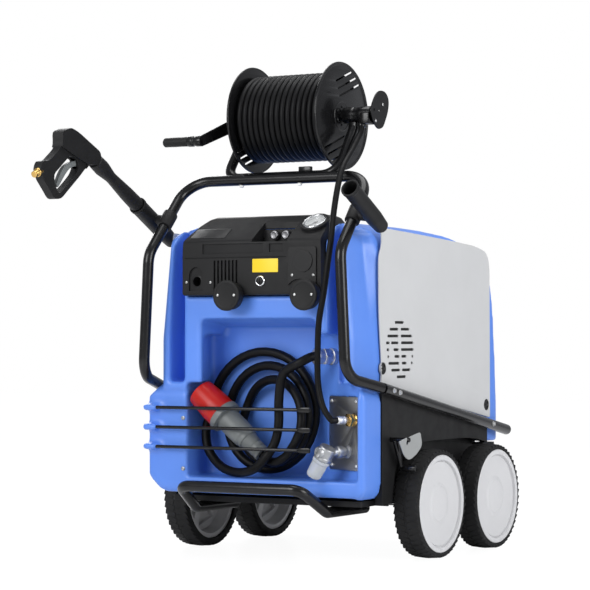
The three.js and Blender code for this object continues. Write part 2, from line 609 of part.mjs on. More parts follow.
// Only the outer layer of the hose is wound; the drum carries it as a plain core.
function hoseHelix() {
  const { pitch, turns, windRadius, loopSteps } = HOSE;
  const start = -(pitch * turns) / 2;
  const total = Math.round(turns * loopSteps);
  return Array.from({ length: total + 1 }, (_, i) => {
    const turn = i / loopSteps;
    const angle = 2 * Math.PI * turn + deg(200);
    return V(start + pitch * turn, REEL.y + windRadius * Math.cos(angle), REEL.z + windRadius * Math.sin(angle));
  });
}

function woundTube(points, radius, sides) {
  const first = points[1].clone().sub(points[0]).normalize().multiplyScalar(-2 * radius).add(points[0]);
  const last = points.at(-1).clone().sub(points.at(-2)).normalize().multiplyScalar(2 * radius).add(points.at(-1));
  return solid(tubeAlong(runStations([first, ...points, last]), radius, sides));
}

// Least gap between turns, measured on points of the middle line more than half a loop apart.
function leastGap(points, radius, apart) {
  const fine = new THREE.CatmullRomCurve3(points, false, "centripetal").getPoints(points.length * 3);
  let least = Infinity;
  for (let i = 0; i < fine.length; i++) {
    for (let j = i + apart * 3; j < fine.length; j++) least = Math.min(least, fine[i].distanceTo(fine[j]));
  }
  return least - 2 * radius;
}

// Swivel joint on the reel's right end: fixed housing with the outlet block below its end.
function makeSwivel() {
  const { y, z, shaftStart, shaftEndX, housing, stub } = REEL;
  const barrel = rod(V(shaftStart, y, z), V(shaftEndX, y, z), housing, 14);
  const block = alongX(outline([[y - 24, z - 27, 4], [y + 22, z - 27, 4], [y + 22, z + 6], [y - 24, z + 6]]),
    shaftEndX - 26, shaftEndX, 2);
  const boss = rod(V(209, y, z), V(209, y - 11, z - 34), 11, 10);
  const socket = rod(V(shaftStart - 5, y, z), V(shaftStart + 46, y, z), clear(stub), 12);
  return cut(join(barrel, block, boss), socket);
}

function makeEndPlate() {
  const x = REEL.shaftEndX + GAP;
  const egg = outline([[-266, 1196, 14], [-242, 1176, 14], [-222, 1180, 10], [-176, 1238, 22], [-184, 1272, 18],
    [-206, 1281, 14], [-228, 1264, 10], [-268, 1218, 12]]);
  const holes = [[-247, 1224], [-226, 1220]].map(([y, z]) => rod(V(x - 2, y, z), V(x + 8, y, z), 3, 8));
  return cut(alongX(egg, x, x + 4, 3), ...holes);
}

// Flat bar from the hub, flaring outwards past the stand, with the grip's pin on its end.
const crankAlong = V(0, -0.923, -0.384).normalize();
const crankTip = V(-CRANK.hubX - 10 - CRANK.flare, REEL.y, REEL.z).addScaledVector(crankAlong, CRANK.reach);

function makeCrank() {
  const { y, z, stub } = REEL;
  const { hubX, hubEndX, reach, flare, width, thick } = CRANK;
  const hub = rod(V(-hubEndX, y, z), V(-hubX - GAP, y, z), 20, 10);
  const outer = V(-hubX - 10, y, z);
  const run = V(-flare, 0, 0).addScaledVector(crankAlong, reach).normalize();
  const across = V(0, crankAlong.z, -crankAlong.y);
  const face = outline([[0, -width / 2], [reach + 6, -width / 2 + 4, 8], [reach + 18, 0, 12],
    [reach + 6, width / 2 - 4, 8], [0, width / 2]]);
  const bar = solid(turned(extrude(face, thick, 3), [run, across, run.clone().cross(across)], outer));
  const pin = rod(crankTip.clone().add(V(6, 0, 0)), V(-CRANK.gripEndX, crankTip.y, crankTip.z), 6, 8);
  const collar = rod(crankTip, crankTip.clone().add(V(-44, 0, 0)), 15, 10);
  const keyhole = rod(V(-hubEndX + 3 - GAP, y, z), V(-hubX + 10, y, z), clear(stub), 12);
  return cut(join(hub, bar, pin, collar), keyhole);
}

function makeCrankGrip() {
  const start = crankTip.clone().add(V(-44 - GAP, 0, 0));
  const length = start.x + CRANK.gripEndX - 3;
  const bore = clear(6, 10);
  return lathe([[bore, 0], [13, 0], [13.5, 3], [13, length * 0.5], [13.5, length - 4], [10, length], [bore, length],
    [bore, 0]], start, V(-1, 0, 0), 10);
}

// ---------------------------------------------------------------- console
// Points on the console's sloping top: across, up the slope from its lower edge, out of it.
const slopeAngle = Math.atan2(CONSOLE.topZ - CONSOLE.edgeZ, CONSOLE.topY - CONSOLE.frontY);
const slopeUp = V(0, Math.cos(slopeAngle), Math.sin(slopeAngle));
const slopeOut = V(0, -Math.sin(slopeAngle), Math.cos(slopeAngle));
const onSlope = (x, up, out) =>
  V(x, CONSOLE.frontY, CONSOLE.edgeZ).addScaledVector(slopeUp, up).addScaledVector(slopeOut, out);

function makeConsole() {
  const { frontY, half, lowZ, edgeZ, topY, topZ, seatY, seatZ, rearY } = CONSOLE;
  const profile = outline([[frontY, lowZ, 6], [frontY, edgeZ, 8], [topY, topZ, 10], [rearY, topZ - 3, 8],
    [rearY, seatZ], [seatY - GAP, seatZ], [seatY - GAP, lowZ]]);
  const front = outline([[-half, lowZ, 8], [half, lowZ, 8], [half, 880, 40], [half - 34, topZ + 4, 44],
    [-half + 34, topZ + 4, 44], [-half, 880, 40]]);
  const cowl = rod(onSlope(GAUGE.x, GAUGE.up, -6), onSlope(GAUGE.x, GAUGE.up, 9), GAUGE.radius + 7, 20);
  const moulding = join(alongX(profile, -half, half, 2).intersect(alongY(front, -560, -300, 3)), cowl);
  const arch = alongY(outline([[-199, 731], [-153, 731], [-153, 786, 22], [-176, 800, 20], [-199, 786, 22]]),
    frontY - 5, frontY + 6, 3);
  const socket = rod(V(-176, frontY - 5, 757), V(-176, frontY + 46, 757), 17, 14);
  const louvres = Array.from({ length: 7 }, (_, i) =>
    box(-118 + 11.7 * i, -112 + 11.7 * i, frontY - 5, frontY + 12, 733, 813));
  const seam = box(-211, 111, frontY - 5, frontY + 2.5, 818.5, 821.5);
  const flaps = [box(-154, 40, frontY - 5, frontY + 4, 831, 858), box(58, 101, frontY - 5, frontY + 4, 834, 856)];
  const tub = alongX(outline([[frontY - 10, 862], [-446, 862, 6], [-432, 950], [frontY - 10, 950]]), 2, 113, 3);
  const tray = box(-150, -46, -404, -362, 922, 960);
  const dialSeat = rod(onSlope(GAUGE.x, GAUGE.up, -GAUGE.depth - GAP), onSlope(GAUGE.x, GAUGE.up, 20),
    clear(GAUGE.radius, 20), 20);
  const switchHole = rod(V(SWITCH.x, frontY - 5, SWITCH.z), V(SWITCH.x, frontY + 24, SWITCH.z), clear(SWITCH.neck), 12);
  const knobHoles = KNOBS.map(({ x, z }) => rod(V(x, -460, z), V(x, CONSOLE.seatY, z), clear(4, 8), 8));
  const postHoles = POST_X.map((x) => rod(V(x, -560, POST.z), V(x, POST.rootY + GAP, POST.z), clear(POST.neck), 12));
  return cut(moulding, arch, socket, ...louvres, seam, ...flaps, tub, tray, dialSeat, switchHole, ...knobHoles,
    ...postHoles);
}

function makeModuleCover() {
  const y = CONSOLE.frontY - GAP;
  const plate = alongY(outline([[120, 724, 5], [206, 724, 5], [206, 846, 8], [120, 846, 8]]), y - 4, y, 3);
  const disc = rod(V(166, y - 4, 808), V(166, y - 6.5, 808), 30, 14);
  const postGap = rod(V(POST_X[1], -560, POST.z), V(POST_X[1], -480, POST.z), POST.radius + 2, 20);
  return join(plate, disc).subtract(postGap);
}

function makeGaugeCase() {
  const { x, up, radius, depth } = GAUGE;
  return lathe([[0, 0], [radius, 0], [radius, depth + 10], [radius - 3, depth + 12], [radius - 5, depth + 10],
    [radius - 5, depth + 3], [0, depth + 3]], onSlope(x, up, -depth), slopeOut, 16);
}

// Needle on its hub, standing just clear of the dial.
function makeNeedle() {
  const { x, up } = GAUGE;
  const lift = 3 + GAP;
  const hub = rod(onSlope(x, up, lift), onSlope(x, up, lift + 3), 3.6, 10);
  const tip = deg(GAUGE.needleRest);
  const shape = (a, b) => {
    const px = a * Math.cos(tip) - b * Math.sin(tip);
    const py = a * Math.sin(tip) + b * Math.cos(tip);
    return new THREE.Vector2(px, py);
  };
  const blade = new THREE.Shape([shape(-8, -1.6), shape(22, -0.6), shape(22, 0.6), shape(-8, 1.6)]);
  return join(hub, solid(turned(extrude(blade, 1.5), [X, slopeUp, slopeOut], onSlope(x, up, lift + 0.5))));
}

function makeSwitchRing() {
  const { x, z, ring, neck } = SWITCH;
  const y = CONSOLE.frontY - GAP;
  const bore = clear(neck, 14);
  return lathe([[bore, 0], [ring, 0], [ring, 4], [ring - 2, 6], [bore, 6], [bore, 0]],
    V(x, y, z), V(0, -1, 0), 14);
}

function makeSwitchKnob() {
  const { x, z, neck } = SWITCH;
  const y = CONSOLE.frontY + 20;
  const body = rod(V(x, y, z), V(x, CONSOLE.frontY - 8, z), neck, 14);
  const bar = box(x - 2.6, x + 2.6, CONSOLE.frontY - 14, CONSOLE.frontY - 6, z - 9, z + 9);
  return join(body, bar);
}

function makeKnob({ x, z }) {
  return lathe([[0, -5], [4, -5], [4, 0], [12, 0], [13, 3], [12, 13], [10, 15], [0, 15]], V(x, -446, z), V(0, -1, 0), 10);
}

// Round post with a bare lid, screwed to the lower edge of the console.
function makePost(x) {
  const { z, radius, neck, faceY, rootY } = POST;
  return lathe([[0, 0], [neck, 0], [neck, rootY - CONSOLE.frontY + 2], [radius - 3, rootY - CONSOLE.frontY + 6],
    [radius - 3, rootY - faceY - 12], [radius, rootY - faceY - 10], [radius, rootY - faceY - 1.5],
    [radius - 2, rootY - faceY], [0, rootY - faceY]], V(x, rootY, z), V(0, -1, 0), 14);
}

// ---------------------------------------------------------------- gland, outlet plate, filter
function makeGland() {
  const { along, z, length } = GLAND;
  return lathe([[0, GAP], [23, GAP], [23, 13], [19, 14], [19, 22], [24, 23], [24, 40], [20, 42], [20, length - 12],
    [22, length - 11], [22, length - 3], [17, length], [clear(CABLE.radius, 8), length], [clear(CABLE.radius, 8), 10],
    [0, 10]], onSlant(along, 0, z), slantOut, 8);
}

const makeOutletPlate = () => {
  const plate = slantBox(6, 146, -4.7, -1.7, 250, 446);
  const holes = OUTLET_HOLES.map(([a, z, r]) => rod(onSlant(a, -30, z), onSlant(a, 0, z), clear(r), 12));
  return cut(plate, ...holes);
};

function makeUnion() {
  const { along, z } = UNION;
  return lathe([[0, -14], [10, -14], [10, -1.7 + GAP], [19, -1.7 + GAP], [19, 0], [13, 2], [13, 5], [17, 7], [17, 18],
    [12, 20], [0, 20]], onSlant(along, 0, z), slantOut, 6);
}

// Crimped steel end of the high-pressure hose, screwed on the brass union.
function makeHoseEnd() {
  const { along, z } = UNION;
  return lathe([[0, 0], [8, 0], [8, 6], [11, 8], [11, 30], [9, 32], [0, 32]], onSlant(along, 20 + GAP, z), slantOut, 10);
}

const filterTop = onSlant(INLET.along, 70, INLET.z);
const filterDown = V(-0.529, 0.025, -0.849).normalize();

function makeFilterHead() {
  const { along, z } = INLET;
  const stem = lathe([[0, -14], [11, -14], [11, -1.7 + GAP], [18, -1.7 + GAP], [18, 4], [12, 5], [12, 16], [16, 17],
    [16, 34], [11, 36], [11, 62], [0, 62]], onSlant(along, 0, z), slantOut, 8);
  const centre = filterTop;
  const head = rod(centre.clone().addScaledVector(filterDown, -16), centre.clone().addScaledVector(filterDown, 22), 23, 12);
  const ear = rod(centre.clone().addScaledVector(slantOut, -14), centre.clone().addScaledVector(slantOut, 27), 17, 10);
  return join(stem, head, ear);
}

function makeFilterBowl() {
  const start = filterTop.clone().addScaledVector(filterDown, 22 + GAP);
  return lathe([[0, 0], [24, 0], [24, 8], [22, 10], [21, 48], [18, 54], [0, 56]], start, filterDown, 10);
}

// ---------------------------------------------------------------- gun and holders
const pitch = deg(HOLDER.pitch);
const barrelDown = V(0, Math.cos(pitch), -Math.sin(pitch));
const barrelUp = V(0, Math.sin(pitch), Math.cos(pitch));

function makeHolder(side) {
  const [mouthY, mouthZ] = side > 0 ? HOLDER_MOUTH.right : HOLDER_MOUTH.left;
  const { x, length, mouthRadius, tipRadius, bore } = HOLDER;
  const mouth = V(x, mouthY, mouthZ);
  const cone = lathe([[bore, 0], [mouthRadius, 0], [mouthRadius, 10], [mouthRadius - 2, 12],
    [tipRadius + 2, length - 10], [tipRadius - 3, length], [0, length + 2], [0, length - 6], [tipRadius - 4, length - 14],
    [bore, 60], [bore, 0]], mouth, barrelDown, 10);
  const shoulder = V(HANDLE.shoulderX, HANDLE.shoulderY, HANDLE.shoulderZ);
  const tubeRun = V(HANDLE.barX, HANDLE.barY, HANDLE.barZ).sub(shoulder).normalize();
  const crossing = shoulder.clone().addScaledVector(tubeRun, (-470 - HANDLE.shoulderY) / tubeRun.y);
  const ring = rod(crossing.clone().addScaledVector(tubeRun, -24), crossing.clone().addScaledVector(tubeRun, 24), 21, 10);
  const onAxis = mouth.clone().addScaledVector(barrelDown, crossing.clone().sub(mouth).dot(barrelDown));
  const arm = rod(crossing, onAxis.clone().add(V(-6, 0, 0)), 17, 10);
  const tubeSpace = rod(crossing.clone().addScaledVector(tubeRun, -60), crossing.clone().addScaledVector(tubeRun, 60),
    clear(TUBE.radius), 12);
  const hollow = lathe([[0, -5], [bore, -5], [bore, 60], [tipRadius - 4, length - 14], [0, length - 6]], mouth, barrelDown, 10);
  const right = join(cone, ring, arm).subtract(tubeSpace).subtract(hollow);
  return side < 0 ? mirrorX(right) : right;
}

// The gun is drawn in its own plane: s along the barrel towards the holder, t upwards.
const gunOrigin = V(-HOLDER.x, ...HOLDER_MOUTH.left).addScaledVector(barrelDown, -GUN.seat)
  .addScaledVector(barrelUp, GUN.barrelDrop);
const inGun = (s, t, x = 0) =>
  gunOrigin.clone().addScaledVector(barrelDown, s).addScaledVector(barrelUp, t).add(V(x, 0, 0));
const gunPlate = (shape, thick, segments = 2) =>
  solid(turned(extrude(shape, thick, segments), [barrelDown, barrelUp, X], inGun(0, 0, -thick / 2)));
const barrelPoint = (s) => inGun(s, -GUN.barrelDrop);

function makeGunBody() {
  const body = outline([[-178, -30, 10], [-150, -1, 8], [-118, 7, 16], [-8, 14, 8], [2, 6, 4], [2, -22, 6],
    [-32, -42], [-52, -94], [-75, -146, 10], [-92, -186, 12], [-116, -201, 10], [-146, -192, 6],
    [-182, -182, 6], [-208, -166, 10], [-208, -140, 8], [-186, -128, 10], [-160, -74, 20], [-160, -58, 10]]);
  const loop = outline([[-114, -66, 6], [-150, -146, 10], [-134, -167, 6], [-106, -180, 8], [-80, -128, 20],
    [-66, -92, 10], [-66, -72, 5], [-82, -58, 6]]);
  const guard = cut(gunPlate(body, GUN.thick), gunPlate(loop, GUN.thick + 10));
  const slim = gunPlate(outline([[-240, -66], [-158, -66], [-118, -60], [-40, -46], [-20, -240], [-240, -240]]), GUN.thick + 10);
  const cheeks = [-1, 1].map((side) => slim.translate([side * (GUN.thick / 2 + 5 + 12), 0, 0]));
  const triggerSlot = gunPlate(outline([[-104, -64], [-104, -44], [-42, -34], [-42, -66], [-60, -78]]), TRIGGER.slot);
  const barrelSeat = rod(barrelPoint(-16 - GAP), barrelPoint(40), clear(14), 12);
  const nippleRun = inGun(-212, -186).sub(inGun(-182, -149)).normalize();
  const nippleAt = (h) => inGun(-182, -149).addScaledVector(nippleRun, h);
  const nippleSeat = join(
    rod(nippleAt(-GAP), nippleAt(60), clear(8, 10), 10),
    rod(nippleAt(15.5), nippleAt(60), clear(12, 10), 10),
  );
  return cut(guard, ...cheeks, triggerSlot, barrelSeat, nippleSeat);
}

function makeTrigger() {
  const blade = outline([[-48, -42, 4], [-50, -60, 4], [-74, -72, 8], [-92, -90, 12], [-101, -116, 14], [-108, -150],
    [-112, -163, 3], [-121, -160, 3], [-121, -128, 14], [-115, -98, 14], [-98, -76, 10], [-76, -56, 8], [-62, -42, 5]]);
  return gunPlate(blade, TRIGGER.thick, 2);
}

function makeGunBarrel() {
  return lathe([[0, -16], [14, -16], [14, 2 + GAP], [23, 2 + GAP], [24, 40], [17, 84], [17, 96], [23, 170], [24, 226],
    [19, 236], [10, 240], [10, 330], [0, 332]], barrelPoint(0), barrelDown, 10);
}

function makeNipple() {
  const from = inGun(-182, -149);
  const along = inGun(-212, -186).sub(from);
  return lathe([[0, 0], [8, 0], [8, 16], [12, 17], [12, 30], [9, 32], [9, 46], [0, 46]], from, along, 10);
}

// ---------------------------------------------------------------- cords
// Coil in the bay: turns bunch together at the lower right and spread towards the upper left.
function coilPoints() {
  const { centreX, centreZ, loop, drawIn, stepBack, turns, backY, bunch, loopSteps, startAngle } = CABLE;
  const total = Math.round(turns * loopSteps);
  return Array.from({ length: total + 1 }, (_, i) => {
    const turn = i / loopSteps;
    const angle = deg(startAngle) - 2 * Math.PI * turn;
    const radius = loop - drawIn * turn;
    const slideAcross = drawIn * turn;
    const depth = ((1 + Math.cos(angle - deg(bunch))) / 2) ** 0.6;
    return V(
      centreX + slideAcross * Math.cos(deg(bunch)) + radius * Math.cos(angle),
      backY - stepBack * turn * depth,
      centreZ + slideAcross * Math.sin(deg(bunch)) + radius * Math.sin(angle),
    );
  });
}


// High-pressure hose from the reel's swivel, over the handle bar, down the front to the outlet union.
function outletHoseRoute() {
  const top = V(209, REEL.y - 11, REEL.z - 34);
  const out = V(0, -11, -34).normalize();
  const end = onSlant(UNION.along, 52.3 + GAP, UNION.z);
  const run = smoothRun([
    top.clone().addScaledVector(out, 18), V(211, -322, 1120), V(221, -398, 1062), V(228, -434, 1015), V(238, -475, 943), V(254, -520, 862), V(254, -536, 803),
    V(243, -539, 721), V(227, -536, 650), V(218, -527, 584), V(213, -518, 492), V(221, -519, 446), V(231, -521, 420),
    V(244, -521, 399), end.clone().addScaledVector(slantOut, 17),
  ], 29);
  return [top.clone().addScaledVector(out, GAP), ...run, end];
}

// Power cable: gland, loop in front, then the coil and the last bend into the plug.
function powerCableRoute() {
  const gland = onSlant(GLAND.along, 10 + GAP, GLAND.z);
  const lead = smoothRun([
    gland.clone().addScaledVector(slantOut, 30), gland.clone().addScaledVector(slantOut, GLAND.length - 4),
    V(150, -503, 537), V(92, -493, 507), V(73, -484, 444), V(72, -485, 366), V(60, -487, 318), V(36, -495, 279),
    V(2, -493, 250), V(-65, -470, 236), V(-134, -448, 250), V(-186, -432, 296), V(-203, -416, 350), V(-200, -390, 402),
  ], 23);
  const coil = coilPoints();
  const plugRun = V(...PLUG.tail).sub(V(...PLUG.face)).normalize();
  const last = coil.at(-1);
  const tail = smoothRun([
    last, V(98, -480, 290), V(76, -478, 274), V(52, -472, 267), V(...PLUG.tail).addScaledVector(plugRun, 26),
    V(...PLUG.tail).addScaledVector(plugRun, 4),
  ], 8);
  return [gland, ...lead, ...coil.slice(1), ...tail.slice(1), V(...PLUG.tail).addScaledVector(plugRun, -20)];
}

// ---------------------------------------------------------------- plug
const PLUG_BORE = clear(CABLE.radius, 12);
const PLUG_BODY = [[PLUG_BORE, 0], [23, 0], [25, 3], [27, 58], [30, 60], [30, 70], [34, 76], [34, 150],
  [47, 151], [47, 168], [0, 168], [0, 22], [PLUG_BORE, 22], [PLUG_BORE, 0]];
const PLUG_COLLAR = [[0, 168 + GAP], [43, 168 + GAP], [44, 172], [44, 205], [41, 240], [39, 262], [34, 262],
  [34, 190], [0, 190]];
const plugPiece = (profile) => lathe(profile, V(...PLUG.tail), V(...PLUG.face).sub(V(...PLUG.tail)), 12);

// ---------------------------------------------------------------- inside the hood
function makeMotor() {
  const body = lathe([[0, 0], [62, 0], [62, 20], [74, 24], [74, 190], [62, 196], [62, 214], [0, 214]], V(-150, -20, 262), Y, 8);
  return join(body, box(-195, -105, -20 + 24, -20 + 190, 168 + GAP, 262));
}

function makePump() {
  const crankcase = box(-205, -95, -170, -22, 205, 318);
  const heads = [-1, 0, 1].map((i) => rod(V(-150 + 32 * i, -240, 262), V(-150 + 32 * i, -168, 262), 15, 8));
  const manifold = box(-202, -98, -262, -226, 236, 288);
  const feet = box(-190, -110, -150, -50, 168 + GAP, 210);
  return join(crankcase, ...heads, manifold, feet);
}

const makeHeater = () =>
  lathe([[0, 0], [120, 0], [120, 12], [112, 18], [112, 520], [120, 526], [120, 540], [60, 580], [0, 590]],
    V(110, 60, 168 + GAP), Z, 10);

// ---------------------------------------------------------------- the assembly
const SIDES = { left: -1, right: 1 };
const ENDS = { front: -1, rear: 1 };

add("chassis_tray", makeChassis(), FINISH.blackPaint);
add("hood_shell", makeHood(), FINISH.hood);
const sidePanel = makeSidePanel();
add("side_panel_right", sidePanel, FINISH.sheet);
add("side_panel_left", mirrorX(sidePanel), FINISH.sheet);
add("handle_frame", makeHandle(), FINISH.blackPaint);
add("side_rail_right", makeRail(), FINISH.blackPaint);
add("side_rail_left", mirrorX(makeRail()), FINISH.blackPaint);
add("bumper_bar", makeBumper(), FINISH.blackPaint);

add("console_housing", makeConsole(), FINISH.blackPlastic);
add("module_cover", makeModuleCover(), FINISH.blackPlastic);
add("gauge_case", makeGaugeCase(), FINISH.steel);
add("gauge_needle", makeNeedle(), FINISH.blackPlastic);
add("switch_ring", makeSwitchRing(), FINISH.steel);
add("switch_knob", makeSwitchKnob(), FINISH.blackPlastic);
add("pressure_knob", makeKnob(KNOBS[0]), FINISH.steel);
add("temperature_knob", makeKnob(KNOBS[1]), FINISH.steel);
add("cord_post_left", makePost(POST_X[0]), FINISH.blackPlastic);
add("cord_post_right", makePost(POST_X[1]), FINISH.blackPlastic);
["bottom", "middle", "top"].forEach((level, i) =>
  add(`stowage_rod_${level}`, stowageRod(ROD_HEIGHTS[i]), FINISH.blackPaint));

for (const [end, e] of Object.entries(ENDS)) {
  add(`axle_${end}`, makeAxle(e), FINISH.steel);
  for (const [side, s] of Object.entries(SIDES)) {
    add(`tyre_${end}_${side}`, makeTyre(s, e), FINISH.rubber);
    add(`rim_${end}_${side}`, makeRim(s, e), FINISH.rim);
  }
}
add("brake_lever", makeBrake(), FINISH.greyPlastic);

add("cable_gland", makeGland(), FINISH.steel);
add("outlet_plate", makeOutletPlate(), FINISH.steel);
add("outlet_union", makeUnion(), FINISH.brass);
add("filter_head", makeFilterHead(), FINISH.steel);
add("filter_bowl", makeFilterBowl(), FINISH.clear);

add("reel_stand", makeReelStand(), FINISH.blackPaint);
add("reel_core", makeReelCore(), FINISH.blackPaint);
add("reel_flange_left", makeFlange(-1), FINISH.blackPaint);
add("reel_flange_right", makeFlange(1), FINISH.blackPaint);
add("reel_swivel", makeSwivel(), FINISH.blackPaint);
add("reel_end_plate", makeEndPlate(), FINISH.greyPlastic);
add("crank_arm", makeCrank(), FINISH.blackPaint);
add("crank_grip", makeCrankGrip(), FINISH.blackPlastic);
const helix = hoseHelix();
add("hose_winding", woundTube(helix, HOSE.radius, HOSE.sides), FINISH.hose);

add("holder_right", makeHolder(1), FINISH.blackPlastic);
add("holder_left", makeHolder(-1), FINISH.blackPlastic);
add("gun_body", makeGunBody(), FINISH.blackPlastic);
add("gun_trigger", makeTrigger(), FINISH.greyPlastic);
add("gun_barrel", makeGunBarrel(), FINISH.blackPlastic);
add("gun_nipple", makeNipple(), FINISH.brass);

const cable = powerCableRoute();
add("outlet_hose", solid(tubeAlong(runStations(outletHoseRoute()), HOSE.radius, 6)), FINISH.hose);
add("hose_crimp", makeHoseEnd(), FINISH.steel);
add("power_cable", solid(tubeAlong(runStations(cable), CABLE.radius, CABLE.sides)), FINISH.hose);
add("plug_body", plugPiece(PLUG_BODY), FINISH.greyPlastic);
add("plug_collar", plugPiece(PLUG_COLLAR), FINISH.red);

add("motor", makeMotor(), FINISH.greyPlastic);
add("pump", makePump(), FINISH.brass);
add("water_heater", makeHeater(), FINISH.steel);

console.log("least gap in the hose winding", leastGap(helix, HOSE.radius, HOSE.loopSteps / 2).toFixed(2), "mm");
console.log("least gap in the power cable", leastGap(cable, CABLE.radius, 6).toFixed(2), "mm");

// ---------------------------------------------------------------- origin
// The origin lies under the middle of the machine's outline, measured without the cords.
const onCords = new Set(["outlet_hose", "hose_crimp", "power_cable", "plug_body", "plug_collar"]);
const outlineBox = new THREE.Box3();
washer.children.filter((mesh) => !onCords.has(mesh.name)).forEach((mesh) => outlineBox.expandByObject(mesh, true));
const middle = outlineBox.getCenter(V(0, 0, 0));
washer.position.set(-middle.x, -middle.y, -outlineBox.min.z);
console.log("shift to the origin", washer.position.toArray().map((n) => n.toFixed(3)).join(", "));

export default washer;
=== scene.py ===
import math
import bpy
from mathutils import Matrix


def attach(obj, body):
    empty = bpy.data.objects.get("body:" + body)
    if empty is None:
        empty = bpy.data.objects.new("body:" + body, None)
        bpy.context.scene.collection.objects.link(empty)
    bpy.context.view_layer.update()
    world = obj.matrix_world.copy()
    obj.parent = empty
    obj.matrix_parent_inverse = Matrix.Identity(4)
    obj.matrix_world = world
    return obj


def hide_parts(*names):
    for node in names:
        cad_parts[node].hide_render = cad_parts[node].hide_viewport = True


bl_info = {
    "name": "Hot-water pressure washer",
    "version": (1, 0, 0),
    "blender": (4, 5, 0),
    "location": "View3D > Sidebar > Washer",
    "description": "Dresses the packed pressure washer with finished pieces and materials",
    "category": "Object",
}

import bmesh
import bpy
from bpy.props import (
    FloatProperty,
    FloatVectorProperty,
    IntProperty,
    PointerProperty,
)
from mathutils import Matrix, Vector

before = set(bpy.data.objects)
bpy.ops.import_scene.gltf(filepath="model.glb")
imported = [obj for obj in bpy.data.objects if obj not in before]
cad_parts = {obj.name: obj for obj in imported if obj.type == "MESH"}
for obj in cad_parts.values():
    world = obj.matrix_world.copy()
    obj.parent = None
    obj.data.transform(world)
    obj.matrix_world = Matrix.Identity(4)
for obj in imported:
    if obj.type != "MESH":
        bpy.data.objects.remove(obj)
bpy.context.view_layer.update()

MM = 0.001
# Pieces are drawn in millimetres from the ground point between the wheels, then moved to the row's origin.
SHIFT = Vector((0.0, 327.473, -1.11))
X, Y, Z = Vector((1, 0, 0)), Vector((0, 1, 0)), Vector((0, 0, 1))


def V(x, y, z):
    return Vector((x, y, z))


# ---------------------------------------------------------------- sizes and colours
class WasherSizes(bpy.types.PropertyGroup):
    tube_radius: FloatProperty(name="Frame tube", description="Outer radius of the frame tube in millimetres",
        default=15.0, min=8.0, max=20.0)
    tread_lugs: IntProperty(name="Tread blocks", description="Blocks round each tyre", default=48, min=16, max=60)
    hose_radius: FloatProperty(name="Hose", description="Radius of the high-pressure hose in millimetres",
        default=8.25, min=4.0, max=12.0)
    hose_turns: IntProperty(name="Hose turns", description="Turns in the outer layer on the reel", default=15, min=4, max=24)
    cable_radius: FloatProperty(name="Cable", description="Radius of the power cable in millimetres",
        default=12.5, min=5.0, max=16.0)
    grain: FloatProperty(name="Moulded grain", description="Height of the grain on moulded plastic in millimetres",
        default=0.05, min=0.0, max=0.4)


class WasherColours(bpy.types.PropertyGroup):
    hood: FloatVectorProperty(name="Hood", description="Colour of the moulded hood",
        subtype="COLOR", default=(0.1, 0.245, 0.76), min=0.0, max=1.0)
    panel: FloatVectorProperty(name="Side panels", description="Colour of the sheet panels",
        subtype="COLOR", default=(0.56, 0.565, 0.57), min=0.0, max=1.0)
    plug: FloatVectorProperty(name="Plug collar", description="Colour of the plug's collar",
        subtype="COLOR", default=(0.44, 0.01, 0.006), min=0.0, max=1.0)
    plate: FloatVectorProperty(name="Bare plate", description="Colour of the bare plate on the console",
        subtype="COLOR", default=(0.87, 0.62, 0.02), min=0.0, max=1.0)


# ---------------------------------------------------------------- materials
class Shade:
    """Builds one procedural material on a Principled shader."""

    def __init__(self, name):
        self.material = bpy.data.materials.get(name) or bpy.data.materials.new(name)
        self.material.use_nodes = True
        self.nodes = self.material.node_tree.nodes
        self.links = self.material.node_tree.links
        self.nodes.clear()
        self.shader = self.nodes.new("ShaderNodeBsdfPrincipled")
        self.output = self.nodes.new("ShaderNodeOutputMaterial")
        self.links.new(self.shader.outputs[0], self.output.inputs[0])
        self.place = self.nodes.new("ShaderNodeTexCoord").outputs["Object"]

    def node(self, kind, settings=None, **inputs):
        node = self.nodes.new(kind)
        for key, value in (settings or {}).items():
            setattr(node, key, value)
        for key, value in inputs.items():
            socket = node.inputs[int(key[1:]) if key[0] == "n" and key[1:].isdigit() else key.replace("_", " ")]
            if isinstance(value, bpy.types.NodeSocket):
                self.links.new(value, socket)
            else:
                socket.default_value = value
        return node

    def set(self, **inputs):
        for key, value in inputs.items():
            socket = self.shader.inputs[key.replace("_", " ")]
            if isinstance(value, bpy.types.NodeSocket):
                self.links.new(value, socket)
            else:
                socket.default_value = value

    def stretched(self, scale):
        return self.node("ShaderNodeMapping", Vector=self.place, Scale=scale).outputs[0]

    def noise(self, scale, detail=3.0, vector=None):
        return self.node("ShaderNodeTexNoise", Vector=vector or self.place, Scale=scale, Detail=detail).outputs["Fac"]

    def ranged(self, value, low, high, from_low=0.3, from_high=0.7):
        return self.node("ShaderNodeMapRange", n0=value, n1=from_low, n2=from_high, n3=low, n4=high).outputs[0]


def rgba(colour, gain=1.0):
    return (*[min(1.0, c * gain) for c in colour], 1.0)


